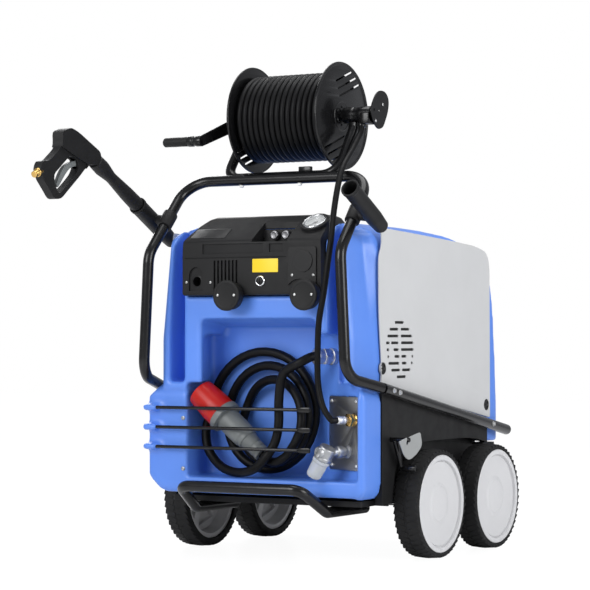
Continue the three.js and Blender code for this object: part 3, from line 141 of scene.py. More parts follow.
def finish(name, colour, roughness, metallic=0.0, coat=0.0, grain=0.0, grain_scale=900.0, edge=0.8, spread=0.06,
           stretch=None, rub=0.0, patches=7.0, gleam=0.5):
    """A finish with colour and gloss that vary, a fine grain, soft edges and a little rub on the edges."""
    shade = Shade(name)
    space = shade.stretched(stretch) if stretch else shade.place
    drift = shade.noise(patches, 4.0)
    tint = shade.node("ShaderNodeMix", {"data_type": "RGBA"}, n0=shade.ranged(drift, 0.0, 1.0),
                      n6=rgba(colour, 1 - spread), n7=rgba(colour, 1 + spread)).outputs[2]
    rounded_normal = shade.node("ShaderNodeBevel", {"samples": 4}, Radius=edge * MM).outputs[0]
    if rub:
        flat_normal = shade.node("ShaderNodeNewGeometry").outputs["Normal"]
        facing = shade.node("ShaderNodeVectorMath", {"operation": "DOT_PRODUCT"}, n0=rounded_normal, n1=flat_normal)
        worn = shade.ranged(facing.outputs["Value"], rub, 0.0, 0.75, 0.97)
        tint = shade.node("ShaderNodeMix", {"data_type": "RGBA"}, n0=worn, n6=tint, n7=(0.32, 0.32, 0.33, 1)).outputs[2]
    fine = shade.noise(grain_scale, 2.0, space)
    bump = shade.node("ShaderNodeBump", Strength=1.0, Distance=max(grain, 0.004) * MM, Height=fine, Normal=rounded_normal)
    gloss = shade.ranged(shade.noise(24.0, 3.0, space), roughness * 0.86, roughness * 1.14)
    shade.set(Base_Color=tint, Roughness=gloss, Metallic=metallic, Coat_Weight=coat, Coat_Roughness=0.12,
              Specular_IOR_Level=gleam, Normal=bump.outputs[0])
    return shade.material


FINISHES = {}


def make_finishes(colours, sizes):
    grain = sizes.grain
    FINISHES.update(
        hood=finish("moulded_hood", colours.hood, 0.36, grain=grain * 0.7, grain_scale=420, edge=4.0, spread=0.03),
        panel=finish("panel_paint", colours.panel, 0.38, grain=0.02, grain_scale=700, edge=1.0, spread=0.02),
        frame=finish("frame_paint", (0.005, 0.005, 0.0055), 0.24,
                     coat=0.12, grain=0.03, grain_scale=350, edge=1.0, rub=0.06, gleam=0.32),
        plastic=finish("grained_plastic", (0.011, 0.011, 0.0115), 0.5, grain=grain, grain_scale=1500, edge=1.4,
                       rub=0.05, gleam=0.22),
        soft_plastic=finish("satin_plastic", (0.007, 0.007, 0.0075), 0.38, grain=0.02, grain_scale=1200, edge=1.2,
                            rub=0.04, gleam=0.3),
        grey=finish("grey_plastic", (0.155, 0.168, 0.168), 0.42, grain=0.04, grain_scale=1100, edge=1.0, gleam=0.4),
        pale=finish("pale_grey_plastic", (0.3, 0.31, 0.31), 0.4, grain=0.03, grain_scale=1100, edge=1.0),
        rim=finish("wheel_disc", (0.62, 0.62, 0.63), 0.34, grain=0.03, grain_scale=600, edge=1.5, spread=0.03),
        tyre=finish("tread_rubber", (0.009, 0.009, 0.0095), 0.68, grain=0.12, grain_scale=700, edge=1.0,
                    spread=0.2, gleam=0.3),
        hose=finish("hose_rubber", (0.004, 0.004, 0.0045), 0.46, grain=0.09, grain_scale=900, edge=0.3,
                    spread=0.15, gleam=0.16),
        steel=finish("turned_steel", (0.68, 0.685, 0.68), 0.37, metallic=1.0, grain=0.02, grain_scale=60, edge=0.6,
                     stretch=(4, 4, 60)),
        plate=finish("brushed_plate", (0.4, 0.4, 0.4), 0.42, metallic=1.0, grain=0.02, grain_scale=50, edge=0.6,
                     stretch=(3, 3, 70)),
        chrome=finish("chrome_trim", (0.75, 0.76, 0.77), 0.12, metallic=1.0, edge=0.5),
        brass=finish("brass_fitting", (0.62, 0.4, 0.13), 0.24, metallic=1.0, grain=0.02, edge=0.5, spread=0.12),
        cast=finish("cast_metal", (0.42, 0.43, 0.44), 0.42, metallic=1.0, grain=0.12, grain_scale=500, edge=0.8),
        red=finish("red_collar", colours.plug, 0.36, grain=0.03, grain_scale=900, edge=0.8, gleam=0.3),
        yellow=finish("bare_yellow_plate", colours.plate, 0.36, grain=0.01, edge=0.4, spread=0.02),
        knob=finish("dark_chrome", (0.24, 0.24, 0.25), 0.3, metallic=1.0, edge=0.5),
        dial=finish("dial_face", (0.5, 0.51, 0.51), 0.4, edge=0.1, spread=0.01),
        # Black for the dial print and the gauge needle, also used as painted shade on the disc behind the grille slots
        dark=finish("black_print_and_painted_shade", (0.006, 0.006, 0.006), 0.6, edge=0.2),
    )
    clear = finish("clear_bowl", (0.82, 0.85, 0.85), 0.08, edge=0.6, spread=0.01)
    clear.node_tree.nodes["Principled BSDF"].inputs["Transmission Weight"].default_value = 0.55
    FINISHES["clear"] = clear
    glass = finish("dial_glass", (0.95, 0.97, 0.97), 0.03, edge=0.2, spread=0.0)
    glass.node_tree.nodes["Principled BSDF"].inputs["Alpha"].default_value = 0.16
    FINISHES["glass"] = glass


# ---------------------------------------------------------------- outlines and solids, in millimetres
def rounded(corners, steps=6):
    """Outline whose corners (x, y, radius) are curved where a radius is given."""
    points = []
    for i, (x, y, *rest) in enumerate(corners):
        corner = Vector((x, y))
        if not rest:
            points.append(corner)
            continue
        ends = []
        for j in (i - 1, (i + 1) % len(corners)):
            edge = Vector(corners[j][:2]) - corner
            ends.append(corner + edge.normalized() * min(rest[0], edge.length * 0.47))
        for k in range(steps + 1):
            t = k / steps
            points.append(ends[0].lerp(corner, t).lerp(corner.lerp(ends[1], t), t))
    return points


def eased(profile, radius=1.2, steps=3):
    """Profile with its inner corners rounded."""
    points = [Vector(p) for p in profile]
    out = [points[0]]
    for a, b, c in zip(points, points[1:], points[2:]):
        before = b + (a - b).normalized() * min(radius, (a - b).length * 0.45)
        after = b + (c - b).normalized() * min(radius, (c - b).length * 0.45)
        out += [before.lerp(b, k / steps).lerp(b.lerp(after, k / steps), k / steps) for k in range(steps + 1)]
    return out + [points[-1]]


def basis_along(direction):
    w = direction.normalized()
    u = (X if abs(w.z) > 0.9 else Z).cross(w).normalized()
    return u, w.cross(u), w


def around(u, v, angle):
    """Direction at an angle from u towards v."""
    return u * math.cos(angle) + v * math.sin(angle)


def lathe(profile, origin, direction, segments=48):
    u, v, w = basis_along(direction)
    form = bmesh.new()
    rings = []
    for r, h in profile:
        centre = origin + w * h
        turns = range(segments) if r > 1e-4 else range(1)
        rings.append([form.verts.new(centre + r * around(u, v, math.tau * i / segments)) for i in turns])
    for low, high in zip(rings, rings[1:]):
        for i in range(segments):
            j = (i + 1) % segments
            loop = dict.fromkeys([low[i % len(low)], low[j % len(low)], high[j % len(high)], high[i % len(high)]])
            if len(loop) > 2:
                form.faces.new(list(loop))
    return form


def bar(start, end, radius, segments=32, edge=1.0):
    length = (end - start).length
    profile = [(0, 0), (radius, 0), (radius, length), (0, length)]
    return lathe(eased(profile, edge, 2), start, end - start, segments)


def swept(stations, radius, sides=20):
    """Round tube through (point, direction) stations, with flat ends."""
    form = bmesh.new()
    u = basis_along(stations[0][1])[0]
    rings = []
    for point, along in stations:
        w = along.normalized()
        u = (u - w * u.dot(w)).normalized()
        v = w.cross(u)
        rings.append([form.verts.new(point + radius * around(u, v, math.tau * i / sides)) for i in range(sides)])
    for low, high in zip(rings, rings[1:]):
        for i in range(sides):
            j = (i + 1) % sides
            form.faces.new([low[i], low[j], high[j], high[i]])
    form.faces.new(rings[0][::-1])
    form.faces.new(rings[-1])
    return form


def bent(corners, arc_steps=10):
    """Stations of a bent tube whose corners are (x, y, z, bend radius)."""
    at = [V(*c[:3]) for c in corners]
    stations = [(at[0], at[1] - at[0])]
    for i in range(1, len(at) - 1):
        arriving, leaving = (at[i] - at[i - 1]).normalized(), (at[i + 1] - at[i]).normalized()
        turn = arriving.angle(leaving)
        radius = corners[i][3]
        centre = at[i] + (leaving - arriving).normalized() * radius / math.cos(turn / 2)
        arm = at[i] - arriving * radius * math.tan(turn / 2) - centre
        axis = arriving.cross(leaving).normalized()
        for k in range(arc_steps + 1):
            spin = Matrix.Rotation(turn * k / arc_steps, 3, axis)
            stations.append((centre + spin @ arm, spin @ arriving))
    stations.append((at[-1], at[-1] - at[-2]))
    return stations


def smooth_run(points, per_span=6):
    """Centripetal curve through the points, as the CAD routes are drawn."""
    out = []
    ends = [points[0] * 2 - points[1], *points, points[-1] * 2 - points[-2]]
    for p0, p1, p2, p3 in zip(ends, ends[1:], ends[2:], ends[3:]):
        t1 = math.sqrt((p1 - p0).length)
        t2 = t1 + math.sqrt((p2 - p1).length)
        t3 = t2 + math.sqrt((p3 - p2).length)
        for k in range(per_span):
            t = t1 + (t2 - t1) * k / per_span
            a1, a2, a3 = p0.lerp(p1, t / t1), p1.lerp(p2, (t - t1) / (t2 - t1)), p2.lerp(p3, (t - t2) / (t3 - t2))
            b1, b2 = a1.lerp(a2, t / t2), a2.lerp(a3, (t - t1) / (t3 - t1))
            out.append(b1.lerp(b2, (t - t1) / (t2 - t1)))
    return out + [points[-1]]


def stations_on(points):
    return [(p, points[min(i + 1, len(points) - 1)] - points[max(i - 1, 0)]) for i, p in enumerate(points)]


def plate(outlines, thick, basis, origin, edge=0.8):
    """Flat piece with rounded edges from a first outline and the holes in it."""
    curve = bpy.data.curves.new("outline", "CURVE")
    curve.dimensions = "2D"
    curve.fill_mode = "BOTH"
    curve.extrude = thick / 2 - edge
    curve.bevel_depth = edge
    curve.bevel_resolution = 1
    curve.offset = -edge
    for points in outlines:
        spline = curve.splines.new("POLY")
        spline.points.add(len(points) - 1)
        for spot, p in zip(spline.points, points):
            spot.co = (p[0], p[1], 0, 1)
        spline.use_cyclic_u = True
    holder = bpy.data.objects.new("outline", curve)
    bpy.context.scene.collection.objects.link(holder)
    mesh = bpy.data.meshes.new_from_object(holder.evaluated_get(bpy.context.evaluated_depsgraph_get()))
    form = bmesh.new()
    form.from_mesh(mesh)
    bpy.data.objects.remove(holder)
    a, b, c = basis
    for vert in form.verts:
        vert.co = origin + a * vert.co.x + b * vert.co.y + c * (vert.co.z + thick / 2)
    return form


def ring_points(radius, centre=(0, 0), count=48):
    x, y = centre
    return [Vector((x + radius * math.cos(math.tau * i / count), y + radius * math.sin(math.tau * i / count)))
            for i in range(count)]


def block(low, high, edge=1.0):
    form = bmesh.new()
    bmesh.ops.create_cube(form, size=1.0)
    size, middle = high - low, (high + low) / 2
    for vert in form.verts:
        vert.co = middle + Vector(a * b for a, b in zip(vert.co, size))
    if edge:
        bmesh.ops.bevel(form, geom=form.edges[:], offset=edge, segments=2, affect="EDGES", profile=0.5)
    return form


def joined(*forms):
    whole = forms[0]
    for form in forms[1:]:
        scratch = bpy.data.meshes.new("joined")
        form.to_mesh(scratch)
        whole.from_mesh(scratch)
        bpy.data.meshes.remove(scratch)
        form.free()
    return whole


def mirrored(form):
    copy = form.copy()
    for vert in copy.verts:
        vert.co.x = -vert.co.x
    bmesh.ops.reverse_faces(copy, faces=copy.faces)
    return copy


def on_side(form, side):
    """The form as drawn for the right side, or its mirror image for the left."""
    return form if side > 0 else mirrored(form)


def held(form, name="held"):
    """A passing object of the solid; points within 0.002 of the solid's own unit are merged."""
    bmesh.ops.remove_doubles(form, verts=form.verts, dist=0.002)
    bmesh.ops.recalc_face_normals(form, faces=form.faces)
    mesh = bpy.data.meshes.new(name)
    form.to_mesh(mesh)
    form.free()
    holder = bpy.data.objects.new(name, mesh)
    bpy.context.scene.collection.objects.link(holder)
    return holder


def baked(holder):
    """The evaluated mesh of an object, whose object is then removed."""
    mesh = bpy.data.meshes.new_from_object(holder.evaluated_get(bpy.context.evaluated_depsgraph_get()))
    bpy.data.objects.remove(holder)
    return mesh


def carved(form, *tools):
    """The solid with other solids cut away."""
    holder = held(form)
    cutters = [held(tool) for tool in tools]
    for cutter in cutters:
        step = holder.modifiers.new("cut", "BOOLEAN")
        step.operation = "DIFFERENCE"
        step.solver = "EXACT"
        step.object = cutter
    mesh = baked(holder)
    for cutter in cutters:
        bpy.data.objects.remove(cutter)
    out = bmesh.new()
    out.from_mesh(mesh)
    return out


def place(name, form, look, body="machine", instead_of=(), crease=35.0):
    """Turns a solid drawn in millimetres into a piece of the machine that rides on a body."""
    bmesh.ops.remove_doubles(form, verts=form.verts, dist=0.002)
    bmesh.ops.recalc_face_normals(form, faces=form.faces)
    for vert in form.verts:
        vert.co = (vert.co + SHIFT) * MM
    return settle(name, form, look, body, instead_of, crease)


def settle(name, form, look, body, instead_of=(), crease=35.0):
    for face in form.faces:
        face.smooth = True
    for edge in form.edges:
        edge.smooth = len(edge.link_faces) == 2 and edge.calc_face_angle(0) < math.radians(crease)
    mesh = bpy.data.meshes.new(name)
    form.to_mesh(mesh)
    form.free()
    mesh.materials.append(FINISHES[look])
    piece = bpy.data.objects.new(name, mesh)
    bpy.context.scene.collection.objects.link(piece)
    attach(piece, body)
    if instead_of:
        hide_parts(*([instead_of] if isinstance(instead_of, str) else instead_of))
    return piece


# ---------------------------------------------------------------- geometry nodes
class Tree:
    """A geometry node tree with named inputs that ends in Realize Instances and Set Material."""

    def __init__(self, name, inputs, look):
        self.tree = bpy.data.node_groups.new(name, "GeometryNodeTree")
        sockets = self.tree.interface
        sockets.new_socket("Geometry", in_out="INPUT", socket_type="NodeSocketGeometry")
        sockets.new_socket("Geometry", in_out="OUTPUT", socket_type="NodeSocketGeometry")
        self.names = {}
        for label, value in inputs.items():
            kind = ("NodeSocketObject" if isinstance(value, bpy.types.Object)
                    else "NodeSocketInt" if isinstance(value, int) else "NodeSocketFloat")
            socket = sockets.new_socket(label, in_out="INPUT", socket_type=kind)
            self.names[label] = (socket.identifier, value)
        self.entry = self.tree.nodes.new("NodeGroupInput")
        self.look = look

    def size(self, label):
        return self.entry.outputs[label]

    def add(self, kind, settings=None, **inputs):
        node = self.tree.nodes.new(kind)
        for key, value in (settings or {}).items():
            setattr(node, key, value)
        for key, value in inputs.items():
            socket = node.inputs[key.replace("_", " ")]
            if isinstance(value, bpy.types.NodeSocket):
                self.tree.links.new(value, socket)
            else:
                socket.default_value = value
        return node

    def bake(self, result, holder):
        real = self.add("GeometryNodeRealizeInstances", Geometry=result)
        painted = self.add("GeometryNodeSetMaterial", Geometry=real.outputs[0], Material=FINISHES[self.look])
        end = self.tree.nodes.new("NodeGroupOutput")
        self.tree.links.new(painted.outputs[0], end.inputs[0])
        modifier = holder.modifiers.new(self.tree.name, "NODES")
        modifier.node_group = self.tree
        for identifier, value in self.names.values():
            modifier[identifier] = value
        form = bmesh.new()
        form.from_mesh(baked(holder))
        return form


def repeated(name, shape, spots, look):
    """Copies of a shape drawn along +Z, set on (point, direction) spots."""
    part = held(shape, "repeated_shape")
    points = bpy.data.meshes.new(name)
    points.from_pydata([tuple(p) for p, _ in spots], [], [])
    turn = points.attributes.new("turn", "FLOAT_VECTOR", "POINT")
    for item, (_, direction) in zip(turn.data, spots):
        item.vector = direction.normalized().to_track_quat("Z", "Y").to_euler()
    holder = bpy.data.objects.new(name, points)
    bpy.context.scene.collection.objects.link(holder)
    tree = Tree(name, {"Shape": part, "Size": 1.0}, look)
    source = tree.add("GeometryNodeObjectInfo", Object=tree.size("Shape"))
    named = tree.add("GeometryNodeInputNamedAttribute", {"data_type": "FLOAT_VECTOR"}, Name="turn")
    euler = tree.add("FunctionNodeEulerToRotation", Euler=named.outputs["Attribute"])
    spread = tree.add("GeometryNodeInstanceOnPoints", Points=tree.entry.outputs["Geometry"],
                      Instance=source.outputs["Geometry"], Rotation=euler.outputs[0], Scale=tree.size("Size"))
    form = tree.bake(spread.outputs[0], holder)
    bpy.data.objects.remove(part)
    return form


def screw_head(radius=5.0, height=2.6, socket=True):
    head = lathe(eased([(0, -1), (radius, -1), (radius, height * 0.6), (radius * 0.7, height), (0, height)], 0.6, 2),
                 V(0, 0, 0), Z, 20)
    if not socket:
        return head
    across = radius * 0.5
    return carved(head, plate([ring_points(across, count=6)], 4, (X, Y, Z), V(0, 0, height - 1.6), 0.01))


def hex_bolt(across=8.0, height=5.0):
    return joined(plate([ring_points(across, count=6)], height, (X, Y, Z), V(0, 0, 1), 0.5),
                  bar(V(0, 0, -0.5), V(0, 0, 1.2), across * 1.25, 28, 0.3))


def scattered(name, shape, spots, look, body="machine"):
    """One piece made of copies of a shape."""
    return place(name, repeated(name, shape, spots, look), look, body)


def screws(name, spots, look="steel", radius=5.0, height=2.6, body="machine", socket=True):
    return scattered(name, screw_head(radius, height, socket), spots, look, body)


# ---------------------------------------------------------------- shared places of the machine
# The bay's slanted wall, the console's slope, the reel's axis, the plug's two ends and the gun's barrel.
SLANT = math.radians(27)
SLANT_OUT = V(-math.sin(SLANT), -math.cos(SLANT), 0)
SLANT_ALONG = V(-math.cos(SLANT), math.sin(SLANT), 0)
SLOPE = math.atan2(937 - 866, 512 - 408)
SLOPE_UP = V(0, math.cos(SLOPE), math.sin(SLOPE))
SLOPE_OUT = V(0, -math.sin(SLOPE), math.cos(SLOPE))
REEL = V(0, -259, 1216)
REEL_DISC = REEL + V(138, 0, 0)
HOSE_PITCH = 17.2
PLUG_TAIL, PLUG_FACE = V(10, -466, 288), V(-194, -457, 453)
BARREL_TILT = math.radians(28.5)
BARREL_DOWN = V(0, math.cos(BARREL_TILT), -math.sin(BARREL_TILT))
BARREL_UP = V(0, math.sin(BARREL_TILT), math.cos(BARREL_TILT))
PANEL_FACE = 330.4
GRILLE_Y, GRILLE_Z = -280, 571
WHEEL_BACK = V(332, 0, 0)
WHEEL_HEIGHT, AXLE_Y = 150, 176


def on_slant(along, out, z):
    return V(312, -470, z) + SLANT_ALONG * along + SLANT_OUT * out


def on_slope(x, up, out):
    return V(x, -512, 866) + SLOPE_UP * up + SLOPE_OUT * out


# ---------------------------------------------------------------- stage
SENSOR_WIDTH = 36
FOCAL_PIXELS, PHOTO_PIXELS = 2298.8, 590


class WASHER_OT_stage(bpy.types.Operator):
    """Camera, soft lights and a plain pale floor"""

    bl_idname = "washer.make_stage"
    bl_label = "Stage"

    def execute(self, context):
        scene = context.scene
        camera = bpy.data.objects.new("camera", bpy.data.cameras.new("camera"))
        scene.collection.objects.link(camera)
        scene.camera = camera
        turn, lift = math.radians(30.52), math.radians(0.99)
        gaze = V(-math.sin(turn) * math.cos(lift), math.cos(turn) * math.cos(lift), math.sin(lift))
        camera.location = (3.2517, -5.4640, 0.6102)
        camera.rotation_euler = gaze.to_track_quat("-Z", "Y").to_euler()
        camera.data.lens = SENSOR_WIDTH * FOCAL_PIXELS / PHOTO_PIXELS
        camera.data.sensor_width = SENSOR_WIDTH
        camera.data.clip_end = 60
        scene.view_settings.view_transform = "Standard"

        floor_form = bmesh.new()
        bmesh.ops.create_grid(floor_form, x_segments=1, y_segments=1, size=14)
        mesh = bpy.data.meshes.new("floor")
        floor_form.to_mesh(mesh)
        floor = bpy.data.objects.new("floor", mesh)
        scene.collection.objects.link(floor)
        floor.location.z = -0.0005
        shade = Shade("pale_floor")
        shade.set(Base_Color=(0.86, 0.86, 0.865, 1), Roughness=0.2)
        rays = shade.node("ShaderNodeLightPath")
        glow = shade.node("ShaderNodeEmission", Color=(1, 1, 1, 1), Strength=1.12)
        share = shade.node("ShaderNodeMath", {"operation": "MULTIPLY"}, n0=rays.outputs["Is Camera Ray"], n1=0.84)
        mix = shade.node("ShaderNodeMixShader", n0=share.outputs[0], n1=shade.shader.outputs[0], n2=glow.outputs[0])
        shade.links.new(mix.outputs[0], shade.output.inputs[0])
        mesh.materials.append(shade.material)

        world = bpy.data.worlds.new("studio")
        scene.world = world
        world.use_nodes = True
        nodes, links = world.node_tree.nodes, world.node_tree.links
        room = nodes["Background"]
        room.inputs["Color"].default_value = (0.93, 0.95, 1.0, 1)
        room.inputs["Strength"].default_value = 0.42
        white = nodes.new("ShaderNodeBackground")
        white.inputs["Color"].default_value = (1.0, 1.0, 1.0, 1)
        white.inputs["Strength"].default_value = 1.0
        rays = nodes.new("ShaderNodeLightPath")
        mix = nodes.new("ShaderNodeMixShader")
        links.new(rays.outputs["Is Camera Ray"], mix.inputs[0])
        links.new(room.outputs[0], mix.inputs[1])
        links.new(white.outputs[0], mix.inputs[2])
        links.new(mix.outputs[0], nodes["World Output"].inputs[0])

        for name, spot, aim, size, power in (
            ("key", (-1.2, -4.6, 2.6), (0, 0, 0.7), 2.6, 150),
            ("side", (4.6, -0.9, 1.9), (0, 0.3, 0.6), 2.4, 120),
            ("top", (0.2, 0.4, 4.2), (0, 0.2, 0.8), 3.0, 90),
            ("rim", (-3.2, 2.6, 2.6), (0, 0, 0.8), 2.0, 60),
        ):
            lamp = bpy.data.lights.new(name, "AREA")
            lamp.size = size
            lamp.energy = power
            holder = bpy.data.objects.new(name, lamp)
            scene.collection.objects.link(holder)
            holder.location = spot
            holder.rotation_euler = (Vector(aim) - Vector(spot)).to_track_quat("-Z", "Y").to_euler()
        return {"FINISHED"}


# ---------------------------------------------------------------- cords
def power_cable_points():
    gland = on_slant(119, 10.3, 553)
    lead = smooth_run([gland + SLANT_OUT * 30, gland + SLANT_OUT * 60, V(150, -503, 537), V(92, -493, 507), V(73, -484, 444),
                       V(72, -485, 366), V(60, -487, 318), V(36, -495, 279), V(2, -493, 250), V(-65, -470, 236),
                       V(-134, -448, 250), V(-186, -432, 296), V(-203, -416, 350), V(-200, -390, 402)], 4)
    bunch, steps, turns = math.radians(-20), 20, 2.62
    coil = []
    for i in range(1, round(turns * steps) + 1):
        turn = i / steps
        angle = math.pi - math.tau * turn
        radius, across = 172 - 28 * turn, 28 * turn
        depth = ((1 + math.cos(angle - bunch)) / 2) ** 0.6
        coil.append(V(-28 + across * math.cos(bunch) + radius * math.cos(angle), -390 - 36 * turn * depth,
                      402 + across * math.sin(bunch) + radius * math.sin(angle)))
    run = (PLUG_TAIL - PLUG_FACE).normalized()
    tail = smooth_run([coil[-1], V(98, -480, 290), V(76, -478, 274), V(52, -472, 267),
                       PLUG_TAIL + run * 26, PLUG_TAIL + run * 4], 3)
    return [gland, *lead, *smooth_run([lead[-1], *coil], 2)[1:], *tail[1:], PLUG_TAIL - run * 20]


def outlet_hose_points():
    top = REEL + V(209, -11, -34)
    out = V(0, -11, -34).normalized()
    end = on_slant(28, 52.6, 385)
    run = smooth_run([top + out * 18, V(211, -322, 1120), V(221, -398, 1062), V(228, -434, 1015), V(238, -475, 943),
                      V(254, -520, 862), V(254, -536, 803), V(243, -539, 721), V(227, -536, 650), V(218, -527, 584),
                      V(213, -518, 492), V(221, -519, 446), V(231, -521, 420), V(244, -521, 399), end + SLANT_OUT * 17], 5)
    return [top + out * 0.3, *run, end]


def run_length(points):
    return sum((b - a).length for a, b in zip(points, points[1:])) * MM


class WASHER_OT_cords(bpy.types.Operator):
    """Power cable with its coil, and the high-pressure hose down the front"""

    bl_idname = "washer.make_cords"
    bl_label = "Cable and hose"

    def execute(self, context):
        sizes = context.scene.washer_sizes
        for name, points, radius, node, end, extra in (
            ("power_cord", power_cable_points(), sizes.cable_radius, "power_cable", "plug", ["plug_body", "plug_collar"]),
            ("pressure_hose", outlet_hose_points(), sizes.hose_radius, "outlet_hose", "object", ["hose_crimp"]),
        ):
            piece = place(name, swept(stations_on(points), radius, 16), "hose", "machine", node)
            print(name, round(run_length(points), 3), "m")
        return {"FINISHED"}


# ---------------------------------------------------------------- hood and side panels
def panel_corners():
    return [(-392, 478), (-386, 520), (-400, 660, 60), (-402, 820, 20), (-384, 852, 20), (-390, 898, 14), (-180, 888, 60),
            (60, 875, 40), (190, 866, 40), (276, 846, 62), (278, 370, 10)]


PANEL_SEATS = ((-378, 521), (254, 408))


def grille_outlines():
    """Round field of slots; each row holds the ends of its slots, measured from the middle."""
    rows = [[(-26, 26)], [(-57, -7), (7, 57)], [(-71, -8), (6, 71)], [(-80, -59), (-51, -9), (6, 77)],
            [(-78, -63), (-39, -9), (4, 78)], [(-75, -65), (-35, -6), (5, 34), (64, 74)],
            [(-71, -9), (6, 34), (59, 69)], [(-56, -6), (6, 54)], [(-26, 26)]]
    outlines = []
    for row, slots in enumerate(rows):
        y, z = GRILLE_Y + (row - 4) * 1.4, GRILLE_Z + 18.4 * (4 - row)
        low, high = z - 3.6, z + 3.6
        outlines += [rounded([(y + a, low, 3.4), (y + b, low, 3.4), (y + b, high, 3.4), (y + a, high, 3.4)], 3)
                     for a, b in slots]
    return outlines


HOOD_REAR_FROM = 250
HOOD_REAR_HALF_WIDTH = 328
HOOD_CORNER_LEAN = 26
HOOD_BLOCK_REACH = 14


def hood_point(x, y, z):
    """Where a point of the solid hood lies on the finished one."""
    if y > HOOD_REAR_FROM:
        # The rear stays nearly as wide as the sides.
        x *= HOOD_REAR_HALF_WIDTH / (330 - 36 * (y - HOOD_REAR_FROM) / 93)
        y += 13 * (y - HOOD_REAR_FROM) / 92
    # The front corners lean in towards their tops.
    lean = min(1.0, max(0.0, -392 - y) / 30) * min(1.0, max(0.0, z - 600) / 250)
    x -= math.copysign(HOOD_CORNER_LEAN * lean * min(1.0, max(0.0, abs(x) - 230) / 70), x)
    if y < -400 and 205 < z < 455:
        # The block of the stowage rods reaches a little past the left side.
        x -= HOOD_BLOCK_REACH * min(1.0, max(0.0, -290 - x) / 30) * min(1.0, (z - 205) / 20, (455 - z) / 15)
    return V(x, y, z)


class WASHER_OT_hood(bpy.types.Operator):
    """Moulded hood, side panels and what is screwed to them"""

    bl_idname = "washer.make_hood"
    bl_label = "Hood and panels"

    def execute(self, context):
        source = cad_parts["hood_shell"]
        form = bmesh.new()
        form.from_mesh(source.data)
        bmesh.ops.remove_doubles(form, verts=form.verts, dist=0.00002)
        holder = held(form, "hood")
        step = holder.modifiers.new("voxels", "REMESH")
        step.mode = "VOXEL"
        step.voxel_size = 0.0056
        step = holder.modifiers.new("soften", "SMOOTH")
        step.factor = 0.5
        step.iterations = 5
        step = holder.modifiers.new("thin", "DECIMATE")
        step.ratio = 0.5
        smooth = bmesh.new()
        smooth.from_mesh(baked(holder))
        for vert in smooth.verts:
            vert.co = (hood_point(*(vert.co / MM - SHIFT)) + SHIFT) * MM
        settle("moulded_hood", smooth, "hood", "machine", "hood_shell", 180)

        for side in (-1, 1):
            label = "left" if side < 0 else "right"
            seats = [ring_points(16.5, seat, 40) for seat in PANEL_SEATS]
            sheet = plate([rounded(panel_corners(), 12), *grille_outlines(), *seats], 4, (Y, Z, X),
                          V(PANEL_FACE, 0, 0), 1.0)
            place(f"panel_{label}", on_side(sheet, side), "panel", "machine",
                  f"side_panel_{label}", 12)
            # Quarter-turn fasteners: a dished disc with a raised bar across it.
            turns = joined(*[form for y, z in PANEL_SEATS for form in (
                lathe(eased([(0, 0.2), (16, 0.2), (16, 3.4), (14.5, 4.2), (12.5, 4.2), (11.5, 2.4), (0, 2.2)], 0.5, 2),
                      V(PANEL_FACE, y, z), X, 40),
                block(V(332, y - 11, z - 2.6), V(334.6, y + 11, z + 2.6), 0.8))])
            place(f"panel_turns_{label}", on_side(turns, side), "soft_plastic", "machine", (), 30)
            # Painted shade: a thin dark disc just inside each panel, behind the grille's slots, so that the slots read
            # dark
            painted_shade_disc = lathe([(0, 0), (84, 0), (84, 0.4), (0, 0.4)], V(330.2, GRILLE_Y, GRILLE_Z), X, 48)
            place(f"grille_backing_{label}", on_side(painted_shade_disc, side), "dark", "machine")
            wall = plate([[(-350, 288), (299, 278), (299, 297.5), (249, 297.5), (249, 332), (-350, 332)]], 4.2,
                         (Y, Z, X), V(295.4, 0, 0), 0.6)
            place(f"inner_wall_{label}", on_side(wall, side), "plastic", "machine", (), 30)
        screws("block_screws", [(V(-231, -490.5, 382), -Y), (V(-231, -490.5, 243), -Y)], "cast", 6.0, 2.4)
        return {"FINISHED"}


# ---------------------------------------------------------------- frame tubes
def both_sides(right):
    """Corners of a tube drawn on the right, followed by their mirror image."""
    return right + [(-x, *rest) for x, *rest in reversed(right)]


